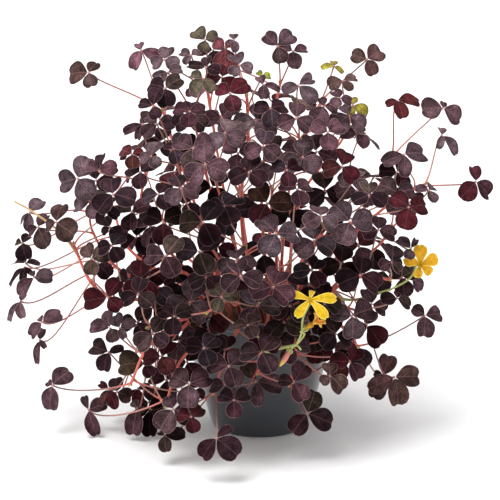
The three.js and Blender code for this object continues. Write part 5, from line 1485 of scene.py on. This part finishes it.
# Fine petal: columns as shares of its half width and rows as shares of its length
PETAL_COLUMNS = np.array([-1, -0.93, -0.8, -0.6, -0.4, -0.2, 0, 0.2, 0.4, 0.6, 0.8, 0.93, 1])
PETAL_ROWS = np.array([0, 0.1, 0.22, 0.35, 0.48, 0.6, 0.71, 0.81, 0.89, 0.94, 0.975, 1.0])
PETAL_THICKNESS = 0.3
PETAL_BRIGHTNESS = 0.08
PETAL_START = 0.03
PETAL_BASE = 0.05
PETAL_BROADEST = 0.7
PETAL_FLARE = 1.1
SHOULDER = 0.84
SHOULDER_LENGTH = 0.19
SHOULDER_LEAST = 0.02
PETAL_NOTCH = 0.05
PETAL_NOTCH_WIDTH = 0.3
PETAL_CORNER = 0.05
WAVE = 0.03
WAVES_ACROSS = 5
WAVES_ALONG = 7
ROLL_CRUMPLE = 3
ROLL_SHARE = 8
PETAL_ARCH = 0.1
PETAL_DROOP = 0.16
CURL_SHORTENING = 0.4

# Looks of each flower: half width of its petals, how crumpled they are, and how far single ones curl back
FLOWER_LOOKS = {
    "flower_front": {"colour": PETAL_COLOUR, "finish": "petal", "slot": "petal", "seed": 31,
                     "spread": 0.165, "crumple": 0, "curls": {1: 0.7}},
    "flower_right": {"colour": RIGHT_PETAL_COLOUR_WITH_PAINTED_LIGHT, "finish": "petal", "slot": "petal", "seed": 57,
                     "spread": 0.3, "crumple": 0, "curls": {}},
    "flower_wilted": {"colour": WILTED_COLOUR, "finish": "wilted", "slot": "wilted_petal", "seed": 83,
                      "spread": 0.2, "crumple": 0.05, "curls": {}},
}


def petal_shape(draw, spread, crumple, curl):
    """Places along and across a petal, broadest near its blunt, faintly notched tip, with its height."""
    row = PETAL_ROWS[:, None]
    width = PETAL_BASE + spread * np.clip(PETAL_ROWS / PETAL_BROADEST, 0, 1) ** PETAL_FLARE
    past = np.clip(PETAL_ROWS - SHOULDER, 0, None) / SHOULDER_LENGTH
    across = outer(width * np.sqrt(np.clip(1 - past ** 2, SHOULDER_LEAST, 1)), PETAL_COLUMNS)
    tip = 1 - PETAL_NOTCH * bell(PETAL_COLUMNS, PETAL_NOTCH_WIDTH) - PETAL_CORNER * PETAL_COLUMNS ** 4
    along = PETAL_START + (1 - PETAL_START) * outer(PETAL_ROWS, tip)
    phase = vary(draw, TURN_TRAIT)
    wave = (WAVE + crumple) * outer(PETAL_ROWS ** 2, np.sin(WAVES_ACROSS * PETAL_COLUMNS + phase))
    roll = (WAVE + ROLL_CRUMPLE * crumple) * np.sin(WAVES_ALONG * row + phase) * row
    arch = PETAL_ARCH * np.sin(np.pi * row) - PETAL_DROOP * row ** 3
    height = wave + roll * crumple * ROLL_SHARE + arch - curl * along ** 2
    return along * (1 - CURL_SHORTENING * curl * along), across, height


THROAT_RINGS = 8
THROAT_SIDES = 12
THROAT_RISE = 0.6
THROAT_RADIUS = 1.0
THROAT_FLARE = 1.1
STAMENS = 10
STAMEN_SIDES = 6
STAMEN_START = 0.5
STAMEN_TIPS = ((1.44, 3.2), (0.9, 2.2))
STAMEN_RADII = (0.16, 0.14, 0.14, 0.4)
ANTHER = 0.7


def add_throat(pieces, hub, normal, side):
    """Short tube at the heart of a flower, with a ring of long and short stamens in turn."""
    run = np.linspace(0, 1, THROAT_RINGS)
    foot = hub - normal * PETAL_TUBE
    throat = foot + (hub + normal * THROAT_RISE - foot) * run[:, None]
    add_tube(pieces, throat, THROAT_RADIUS + THROAT_FLARE * run ** 2, THROAT_SIDES, 1, THROAT_COLOUR)
    colours = blend_colours(THROAT_COLOUR, PETAL_COLOUR, [0, 0, 1, 1])
    for k, way in enumerate(ways_round(side, np.cross(normal, side), STAMENS)):
        out, rise = STAMEN_TIPS[k % 2]
        start = hub + way * STAMEN_START
        end = hub + way * out + normal * rise
        stamen = [start, (start + end) / 2, end, end + normal * ANTHER]
        add_tube(pieces, stamen, STAMEN_RADII, STAMEN_SIDES, 1, colours)


def make_flower(flower, materials):
    """Five petals with their throat and stamens."""
    looks = FLOWER_LOOKS[flower["name"]]
    draw = seeded(looks["seed"])
    pieces = Pieces()
    for k, axes in enumerate(blade_axes(flower)):
        sheet = petal_shape(draw, looks["spread"], looks["crumple"], looks["curls"].get(k, 0))
        colour = np.array(looks["colour"]) * (1 + PETAL_BRIGHTNESS * (draw() - 0.5))
        add_blade(pieces, flower, axes, sheet, PETAL_THICKNESS, 0, [colour, colour])
    add_throat(pieces, *[np.array(flower[key]) for key in ("hub", "normal", "heading")])
    skins = [materials[looks["finish"]], materials["throat"]]
    finish_piece(pieces, flower["name"] + "_petals", skins, looks["slot"], flower["name"])


BUD_RINGS = 24
BUD_SIDES = 30
BUD_END_SHARES = (0.8, 0.4)
BUD_PETALS = 5
BUD_TWIST = 1.6
FURL_HEIGHT = 0.11
FURL_DEPTH = 0.08
BUD_TIP_START = 0.55
BUD_TIP_FADE = 3


def make_bud(materials):
    """Furled bud, its petals twisted round each other."""
    start, end = np.array(bud_ends())
    side, other = across_of(unit_rows(end - start), (0, 0, 1))
    run = np.linspace(0, 1, BUD_RINGS)
    radius = np.interp(run, np.linspace(0, 1, len(BUD_RADII)), BUD_RADII)
    radius[[0, -1]] *= BUD_END_SHARES
    turn = 2 * np.pi * np.arange(BUD_SIDES) / BUD_SIDES
    fold = np.abs(np.sin(BUD_PETALS / 2 * (turn[None, :] + BUD_TWIST * run[:, None])))
    spread = radius[:, None] * (1 - FURL_DEPTH + FURL_HEIGHT * fold)
    rings = start + outer(run, end - start)[:, None, :]
    rings = rings + (spread * np.cos(turn))[..., None] * side + (spread * np.sin(turn))[..., None] * other
    pieces = Pieces()
    colours = blend_colours(BUD_COLOUR, BUD_TIP_COLOUR, (run - BUD_TIP_START) * BUD_TIP_FADE)
    add_rings(pieces, rings, [start, end], 0, colours)
    finish_piece(pieces, "bud_furled", [materials["bud"]], "bud", "bud")


SEPALS = 5
SEPAL_SIDES = 6
SEPAL_GUESS = (0.3, 0.2, 1.0)
SEPAL_ROOT = 0.8
SEPAL_SPINE = ((0, 0, 0), (1.5, 1.1, 0), (1.9, 0, 0.6), (1.8, 0, 1))
SEPAL_RADII = (0.5, 0.75, 0.55, 0.12)


def add_calyx(pieces, foot, facing, reach):
    """Five narrow green sepals pressed round the foot of a flower or bud."""
    facing = np.array(facing)
    root = np.array(foot) - facing * SEPAL_ROOT
    for way in ways_round(*across_of(facing, SEPAL_GUESS), SEPALS):
        path = [root + way * out + facing * (rise + share * reach) for out, rise, share in SEPAL_SPINE]
        add_tube(pieces, path, SEPAL_RADII, SEPAL_SIDES, 0, STALK_COLOUR)


STALK_SLIMNESS = 0.85
STALK_LOOK_SIDES = 8
STALK_FADE = 2


def make_stalk(stalk, materials):
    """Green flower stalk with its side stalks and calyces, redder at its foot."""
    pieces = Pieces()
    for tube in stalk["tubes"]:
        path = smooth_path(tube["points"], STEM_LOOK_STEP)
        radii = np.full(len(path), tube["radius"] * STALK_SLIMNESS)
        colours = STALK_COLOUR
        if tube["radius"] == STALK_RADIUS:
            shares = np.linspace(0, STALK_FADE, len(path))
            colours = blend_colours(STALK_FOOT_COLOUR, STALK_COLOUR, shares)
        add_tube(pieces, path, radii, STALK_LOOK_SIDES, 0, colours)
        if tube["calyx"]:
            add_calyx(pieces, **tube["calyx"])
    finish_piece(pieces, stalk["name"] + "_green", [materials["stalk"]], "green_stalk", stalk["name"])


POT_TURNS = 128
POT_WALL_RINGS = 14
FOOT_ROUND = 1.5
WALL_START = 4
BAND_ROUND = 0.9
BAND_RISE = 1.2
LIP_ROUND = 1.1


def arc(x, z, radius, start, end, steps):
    """Points of an arc in the profile plane, angles in degrees."""
    angles = np.radians(np.linspace(start, end, steps))
    return [(x + radius * math.cos(a), z + radius * math.sin(a)) for a in angles]


def make_pot(materials):
    """Thin tapered pot turned in one piece, with a rolled band for its rim."""
    inner = POT_NECK_RADIUS - POT_WALL
    lip = POT_HEIGHT - LIP_ROUND
    wall = np.linspace(WALL_START, POT_NECK_HEIGHT - 1, POT_WALL_RINGS)
    profile = [
        *arc(POT_BASE_RADIUS - FOOT_ROUND, FOOT_ROUND, FOOT_ROUND, -90, -12, 6),
        *[(pot_radius_at(z), z) for z in wall],
        *arc(POT_RIM_RADIUS - BAND_ROUND, POT_NECK_HEIGHT + BAND_RISE, BAND_ROUND, -80, 0, 4),
        *arc(POT_RIM_RADIUS - LIP_ROUND, lip, LIP_ROUND, 0, 90, 5),
        *arc(inner + LIP_ROUND, lip, LIP_ROUND, 90, 180, 5),
        (inner, POT_NECK_HEIGHT),
        (POT_BASE_RADIUS - POT_WALL, POT_FLOOR),
    ]
    turn = 2 * np.pi * np.arange(POT_TURNS) / POT_TURNS
    rings = np.array([[(r * math.cos(a), r * math.sin(a), z) for a in turn] for r, z in profile])
    pieces = Pieces()
    add_rings(pieces, rings, [(0, 0, 0), (0, 0, POT_FLOOR)], 0, POT_COLOUR)
    finish_piece(pieces, "pot_turned", [materials["pot"]], "pot", "pot")


SOIL_RINGS = 30
SOIL_SIDES = 96
SOIL_ROUGHNESS = 0.5
SOIL_WAVES = 7
SOIL_WAVE_TRAIT = (0.08, 0.5)
WAVE_TURN = 6.3
WAVE_HEIGHT = 0.5
SURFACE_SEED = 60606
CRUMBS = 420
CRUMB_EDGE = 3
CRUMB_SIZES = (0.5, 1.3)
CRUMB_STRETCH_TRAIT = (0.6, 0.8)
CRUMB_RISE = 0.2
CRUMB_CORNERS = np.array([(1, 0, 0), (-1, 0, 0), (0, 1, 0), (0, -1, 0), (0, 0, 1), (0, 0, -1)], dtype=float)
CRUMB_TOP = [(0, 2, 4), (2, 1, 4), (1, 3, 4), (3, 0, 4)]
CRUMB_FACES = np.array([*CRUMB_TOP, *[(b, a, 5) for a, b, _ in CRUMB_TOP]])


def soil_radius(level):
    """Radius of the soil at a height, just inside the pot's wall."""
    low = POT_BASE_RADIUS - POT_WALL
    rise = (POT_NECK_RADIUS - POT_BASE_RADIUS) * (level - POT_FLOOR) / (POT_NECK_HEIGHT - POT_FLOOR)
    return low + rise - SOIL_GAP


def add_crumb(pieces, place, scale, draw):
    stretch = np.array([scale * vary(draw, CRUMB_STRETCH_TRAIT) for _ in range(3)])
    turn = vary(draw, TURN_TRAIT)
    spin = np.array([[math.cos(turn), -math.sin(turn), 0], [math.sin(turn), math.cos(turn), 0], [0, 0, 1]])
    tint = np.array(CRUMB_COLOUR) * (0.5 + draw())
    pieces.add(CRUMB_CORNERS * stretch @ spin + np.array(place), [CRUMB_FACES], 0, tint)


def make_soil(materials):
    """Rough surface of damp compost with loose crumbs on it."""
    draw = seeded(SURFACE_SEED)
    radius = soil_radius(SOIL_LEVEL)
    waves = [(vary(draw, SOIL_WAVE_TRAIT), draw() * WAVE_TURN, draw() * WAVE_TURN, WAVE_HEIGHT / (k + 1))
             for k in range(SOIL_WAVES)]

    def height(x, y):
        level = sum(high * math.sin(often * x * math.cos(way) + often * y * math.sin(way) + phase)
                    for often, way, phase, high in waves)
        return SOIL_LEVEL + level * SOIL_BUMP * 0.5

    rings = []
    for reach in [radius * r / SOIL_RINGS for r in range(1, SOIL_RINGS + 1)]:
        around = [2 * math.pi * k / SOIL_SIDES for k in range(SOIL_SIDES)]
        spots = [(reach * math.cos(turn), reach * math.sin(turn)) for turn in around]
        rings.append([(x, y, height(x, y) + SOIL_ROUGHNESS * (draw() - 0.5)) for x, y in spots])
    foot = POT_FLOOR + SOIL_GAP
    narrow = soil_radius(foot) / radius
    rings.append([(narrow * x, narrow * y, foot) for x, y, _ in rings[-1]])
    pieces = Pieces()
    add_rings(pieces, np.array(rings[::-1]), [(0, 0, foot), (0, 0, height(0, 0))], 0, SOIL_COLOUR)
    for _ in range(CRUMBS):
        reach = (radius - CRUMB_EDGE) * math.sqrt(draw())
        turn = vary(draw, TURN_TRAIT)
        scale = CRUMB_SIZES[0] + CRUMB_SIZES[1] * draw() ** 2
        x = reach * math.cos(turn)
        y = reach * math.sin(turn)
        add_crumb(pieces, (x, y, height(x, y) + scale * CRUMB_RISE), scale, draw)
    finish_piece(pieces, "soil_surface", [materials["soil"]], "soil", "soil")


# Places of a Mix node's factor and its two colours, and of the colour that comes out
MIX_INPUTS = (0, 6, 7)
MIX_RESULT = 2


class Shade:
    """Procedural material around one Principled shader."""

    def __init__(self, name, **constants):
        self.material = bpy.data.materials.new(name)
        self.material.use_nodes = True
        self.nodes = self.material.node_tree.nodes
        self.links = self.material.node_tree.links
        self.shader = self.nodes["Principled BSDF"]
        for socket, value in constants.items():
            self.put(self.shader.inputs[socket.replace("_", " ")], value)

    def put(self, socket, value):
        """Links a socket to another one, or sets it to a constant."""
        if isinstance(value, bpy.types.NodeSocket):
            self.links.new(value, socket)
        elif isinstance(value, tuple) and len(socket.default_value) == 4:
            socket.default_value = (*value, 1)
        else:
            socket.default_value = value

    def node(self, kind, inputs, **settings):
        """Outputs of a new node, its inputs given by name or place and its settings by name."""
        node = self.nodes.new("ShaderNode" + kind)
        for name, value in settings.items():
            setattr(node, name, value)
        for name, value in inputs.items():
            self.put(node.inputs[name], value)
        return node.outputs

    def math(self, operation, *values, clamp=False):
        return self.node("Math", dict(enumerate(values)), operation=operation, use_clamp=clamp)[0]

    def scaled(self, value, factor, offset, clamp=False):
        return self.math("MULTIPLY_ADD", value, factor, offset, clamp=clamp)

    def times(self, a, b):
        return self.math("MULTIPLY", a, b)

    def tint(self):
        """Colour that the mesh gives to each of its points."""
        return self.node("Attribute", {}, attribute_name="tint")["Color"]

    def split(self, vector):
        return self.node("SeparateXYZ", {0: vector})

    def place(self):
        """Places along and across a blade in shares of its length, and distance from its rim in mm."""
        return self.split(self.node("Attribute", {}, attribute_name="place")["Vector"])

    def noise(self, scale, detail=3.0):
        place = self.node("TexCoord", {})["Object"]
        return self.node("TexNoise", {"Vector": place, "Scale": scale, "Detail": detail})[0]

    def mix(self, factor, a, b, kind="MIX"):
        inputs = dict(zip(MIX_INPUTS, (factor, a, b)))
        return self.node("Mix", inputs, data_type="RGBA", blend_type=kind)[MIX_RESULT]

    def near(self, value, reach):
        """1 where a value is 0, falling to 0 at a distance from it."""
        return self.scaled(self.math("ABSOLUTE", value), -1 / reach, 1.0, clamp=True)

    def stripes(self, value, width):
        """1 on lines at every whole number of a value, falling to 0 beside them."""
        return self.near(self.math("PINGPONG", value, 0.5), width)

    def brightness(self, colour, noise, share):
        """Colour made lighter and darker by a noise, by a share of it."""
        level = self.scaled(noise, 2 * share, 1 - share)
        grey = self.node("CombineXYZ", {0: level, 1: level, 2: level})[0]
        return self.mix(1.0, colour, grey, "MULTIPLY")

    def finish(self, colour, height, depth, strength):
        """Gives the shader its colour and a relief, whose depth is in metres."""
        relief = self.node("Bump", {"Height": height, "Distance": depth, "Strength": strength})[0]
        self.put(self.shader.inputs["Base Color"], colour)
        self.put(self.shader.inputs["Normal"], relief)
        return self.material


# Leaf marks: widths along and across are shares of a leaflet's length, those at its rim are in mm
RIM_COLOUR = linear(176, 138, 138)
RIM_WIDTH = 0.42
MIDRIB_COLOUR = linear(150, 110, 114)
MIDRIB_WIDTH = 0.032
MIDRIB_SHARE = 0.42
VEINS = 6.0
VEIN_SLANT = 0.95
VEIN_CURVE = 0.9
VEIN_WIDTH = 0.14
VEIN_SHARE = 0.28
VEIN_RELIEF = 0.35
BLADE_RELIEF = 0.9
BLADE_RELIEF_SCALE = 420.0
BLADE_GRAINS = ((190.0, 5.0, 1.3), (700.0, 3.0, 0.9), (70.0, 2.0, 0.9))
# Painted shade: a darker band along the border of each leaflet, against its lighter middle
BORDER_SHADE_COLOUR = linear(34, 20, 28)
BORDER_WIDTH = 2.4
BORDER_SHADE_SHARE = 0.5
# Painted light on the fold: one half of each leaflet lighter, the other darker
FOLD_LIGHT_SLOPE = 1.6
FOLD_LIGHT_SHARE = 0.2
HUB_REACH = 0.09
HUB_SHARE = 0.8
PALE_SLOPE = 22.0
PALE_LEAST = 0.16
WEAR_SCALE = 110.0
WEAR_SLOPE = 2.6
WEAR_LEAST = -0.75


def leaf_material():
    """Velvety blade with a paler midrib, faint side veins, a darker border of painted shade, one half painted
    lighter as light on the fold, and a thin pinkish-grey rim.
    """
    shade = Shade("oxalis_leaf", Roughness=0.5, Specular_IOR_Level=0.03)
    along, across, rim = shade.place()
    side = shade.math("ABSOLUTE", across)
    curve = shade.times(shade.times(side, side), VEIN_CURVE)
    slant = shade.math("SUBTRACT", shade.scaled(side, -VEIN_SLANT, along), curve)
    vein = shade.stripes(shade.times(slant, VEINS), VEIN_WIDTH)
    tint = shade.tint()
    # The pale midrib and rim fade where the tint is dark, and so fade under the painted shade in the tint
    lightness = shade.scaled(shade.split(tint)[1], PALE_SLOPE, PALE_LEAST, clamp=True)
    colour = tint
    for scale, detail, share in BLADE_GRAINS:
        colour = shade.brightness(colour, shade.noise(scale, detail), share)
    # Painted shade along the leaflet's border
    colour = shade.mix(shade.times(shade.near(rim, BORDER_WIDTH), BORDER_SHADE_SHARE), colour, BORDER_SHADE_COLOUR)
    colour = shade.brightness(colour, vein, VEIN_SHARE)
    # Painted fold light: one half of the leaflet lighter than the other
    colour = shade.brightness(colour, shade.scaled(across, FOLD_LIGHT_SLOPE, 0.5, clamp=True), FOLD_LIGHT_SHARE)
    paler = shade.times(shade.near(across, MIDRIB_WIDTH), lightness)
    colour = shade.mix(shade.times(paler, MIDRIB_SHARE), colour, MIDRIB_COLOUR)
    worn = shade.scaled(shade.noise(WEAR_SCALE), WEAR_SLOPE, WEAR_LEAST, clamp=True)
    fringe = shade.times(shade.times(shade.near(rim, RIM_WIDTH), worn), lightness)
    colour = shade.mix(fringe, colour, RIM_COLOUR)
    colour = shade.mix(shade.times(shade.near(along, HUB_REACH), HUB_SHARE), colour, HUB_COLOUR)
    relief = shade.scaled(vein, -VEIN_RELIEF, shade.times(shade.noise(BLADE_RELIEF_SCALE), BLADE_RELIEF))
    return shade.finish(colour, relief, depth=0.0005, strength=0.7)


PETAL_GRAIN = (520.0, 4.0)
PETAL_GRAIN_SHARE = 0.5
PETAL_RELIEF_SCALE = 260.0
PETAL_VEIN = linear(180, 128, 14)
PETAL_VEINS = 26.0
PETAL_VEIN_WIDTH = 0.3
PETAL_VEIN_START = 0.25
PETAL_HEART = 0.5
PETAL_HEART_SHARE = 0.35
PETAL_RIM = linear(250, 232, 112)
PETAL_RIM_WIDTH = 0.7
PETAL_RIM_SHARE = 0.75


def petal_material(name, vein_share, crinkle):
    """Thin petal with fine veins running out from its base, and a paler rim."""
    shade = Shade(name, Roughness=0.55, Specular_IOR_Level=0.25, Sheen_Weight=0.1)
    along, across, rim = shade.place()
    fan = shade.math("DIVIDE", across, shade.math("ADD", along, PETAL_VEIN_START))
    vein = shade.stripes(shade.times(fan, PETAL_VEINS), PETAL_VEIN_WIDTH)
    colour = shade.brightness(shade.tint(), shade.noise(*PETAL_GRAIN), PETAL_GRAIN_SHARE)
    colour = shade.mix(shade.times(vein, vein_share), colour, PETAL_VEIN)
    colour = shade.mix(shade.times(shade.near(along, PETAL_HEART), PETAL_HEART_SHARE), colour, PETAL_VEIN)
    colour = shade.mix(shade.times(shade.near(rim, PETAL_RIM_WIDTH), PETAL_RIM_SHARE), colour, PETAL_RIM)
    return shade.finish(colour, shade.noise(PETAL_RELIEF_SCALE), depth=crinkle, strength=0.6)


def grained(name, grain, share, relief, depth, strength, detail=3.0, relief_detail=3.0, **constants):
    """Material in the piece's own colour, with a grain and a fine relief, each by its noise's scale."""
    shade = Shade(name, **constants)
    colour = shade.brightness(shade.tint(), shade.noise(grain, detail), share)
    return shade.finish(colour, shade.noise(relief, relief_detail), depth, strength)


def stem_material():
    return grained("oxalis_stem", grain=300.0, share=0.25, relief=900.0, depth=0.0002, strength=0.5,
                   detail=4.0, Roughness=0.5, Specular_IOR_Level=0.35, Sheen_Weight=0.15)


def stalk_material():
    return grained("green_stalk", grain=250.0, share=0.18, relief=900.0, depth=0.0001, strength=0.5,
                   Roughness=0.45, Specular_IOR_Level=0.4)


def throat_material():
    return grained("flower_throat", grain=300.0, share=0.12, relief=900.0, depth=0.0001, strength=0.6,
                   Roughness=0.55, Specular_IOR_Level=0.3)


def bud_material():
    return grained("bud_skin", grain=300.0, share=0.15, relief=900.0, depth=0.0001, strength=0.6,
                   Roughness=0.45, Specular_IOR_Level=0.3)


def pot_material():
    """Dark grey moulded plastic with a satin sheen that lightens it toward its sides."""
    return grained("pot_plastic", grain=45.0, share=0.1, relief=1500.0, depth=0.00004, strength=0.4,
                   detail=5.0, Roughness=0.36, Specular_IOR_Level=0.5, Sheen_Weight=0.75,
                   Sheen_Roughness=0.32, Coat_Weight=0.4, Coat_Roughness=0.3)


def soil_material():
    return grained("potting_mix", grain=500.0, share=0.6, relief=700.0, depth=0.0012, strength=0.9,
                   detail=6.0, relief_detail=6.0, Roughness=0.95, Specular_IOR_Level=0.15)


def build_plant():
    materials = {
        "leaf": leaf_material(),
        "stem": stem_material(),
        "stalk": stalk_material(),
        "petal": petal_material("oxalis_petal", vein_share=0.16, crinkle=0.0002),
        "wilted": petal_material("oxalis_petal_wilted", vein_share=0.35, crinkle=0.0006),
        "throat": throat_material(),
        "bud": bud_material(),
        "pot": pot_material(),
        "soil": soil_material(),
    }
    stems = lay_stems()
    flowers = lay_flowers()
    stalks = lay_flower_stalks(flowers)
    place_seen_leaves(stems)
    place_rear_leaves(stems)
    print("leaves placed:", sum(len(stem["leaves"]) for stem in stems))
    make_pot(materials)
    make_soil(materials)
    draw = seeded(TONE_SEED)
    for stem in stems:
        make_spray(stem, materials, draw)
    for stalk in stalks:
        make_stalk(stalk, materials)
    for flower in flowers.values():
        make_flower(flower, materials)
    make_bud(materials)


SENSOR_WIDTH = 36
CLIP_END_M = 100


def add_camera():
    camera = add_object("camera", bpy.data.cameras.new("camera"))
    camera.location = [v * MM for v in VIEW_ORIGIN]
    camera.rotation_euler = (radians(90 - VIEW_ELEVATION), 0, 0)
    camera.data.sensor_width = SENSOR_WIDTH
    camera.data.lens = SENSOR_WIDTH * VIEW_DISTANCE / (2 * CENTRE_PIXEL * MM_PER_PIXEL)
    camera.data.clip_end = CLIP_END_M
    bpy.context.scene.camera = camera


# Studio, in metres
KEY_FROM = (-0.55, -0.8, 1.9)
KEY_TARGET = (0, 0, 0.1)
KEY_STRENGTH = 2.1
KEY_SOFTNESS = 30
FLOOR_RADIUS = 30.0
FLOOR_SIDES = 96
FLOOR_COLOUR = (0.92, 0.92, 0.92)
SKY_COLOUR = (1, 1, 1)
SKY_LEVEL = 0.3
SKY_RISE = 1.0


def add_key_light():
    """One soft light from the upper left, as broad as its angle says."""
    light = bpy.data.lights.new("key", "SUN")
    light.energy = KEY_STRENGTH
    light.angle = radians(KEY_SOFTNESS)
    key = add_object("key", light)
    key.location = KEY_FROM
    x, y, z = sub(KEY_TARGET, KEY_FROM)
    key.rotation_euler = (math.atan2(math.hypot(x, y), -z), 0, math.atan2(-x, y))
    key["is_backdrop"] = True


def add_floor():
    """Wide pale floor."""
    around = [2 * math.pi * k / FLOOR_SIDES for k in range(FLOOR_SIDES)]
    mesh = bpy.data.meshes.new("floor")
    outline = [(FLOOR_RADIUS * math.cos(a), FLOOR_RADIUS * math.sin(a), 0) for a in around]
    mesh.from_pydata(outline, [], [range(FLOOR_SIDES)])
    mesh.materials.append(Shade("floor_paper", Roughness=0.9, Specular_IOR_Level=0.1,
                                Base_Color=FLOOR_COLOUR).material)
    add_object("floor", mesh)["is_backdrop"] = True


def add_sky():
    """White surroundings that grow brighter with height."""
    world = bpy.data.worlds.new("studio")
    bpy.context.scene.world = world
    world.use_nodes = True
    nodes = world.node_tree.nodes
    links = world.node_tree.links
    split = nodes.new("ShaderNodeSeparateXYZ")
    links.new(nodes.new("ShaderNodeTexCoord").outputs["Generated"], split.inputs[0])
    rise = nodes.new("ShaderNodeMath")
    rise.operation = "MULTIPLY_ADD"
    rise.inputs[1].default_value = SKY_RISE
    rise.inputs[2].default_value = SKY_LEVEL
    links.new(split.outputs[2], rise.inputs[0])
    sky = nodes["Background"]
    sky.inputs["Color"].default_value = (*SKY_COLOUR, 1)
    links.new(rise.outputs[0], sky.inputs["Strength"])


build_plant()
add_camera()
add_floor()
add_sky()
add_key_light()
bpy.context.scene.view_settings.view_transform = "Standard"

boxes = {"cad": CAD_BOX, "visual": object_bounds()}
{name: [[float(v) for v in corner] for corner in box] for name, box in boxes.items()}
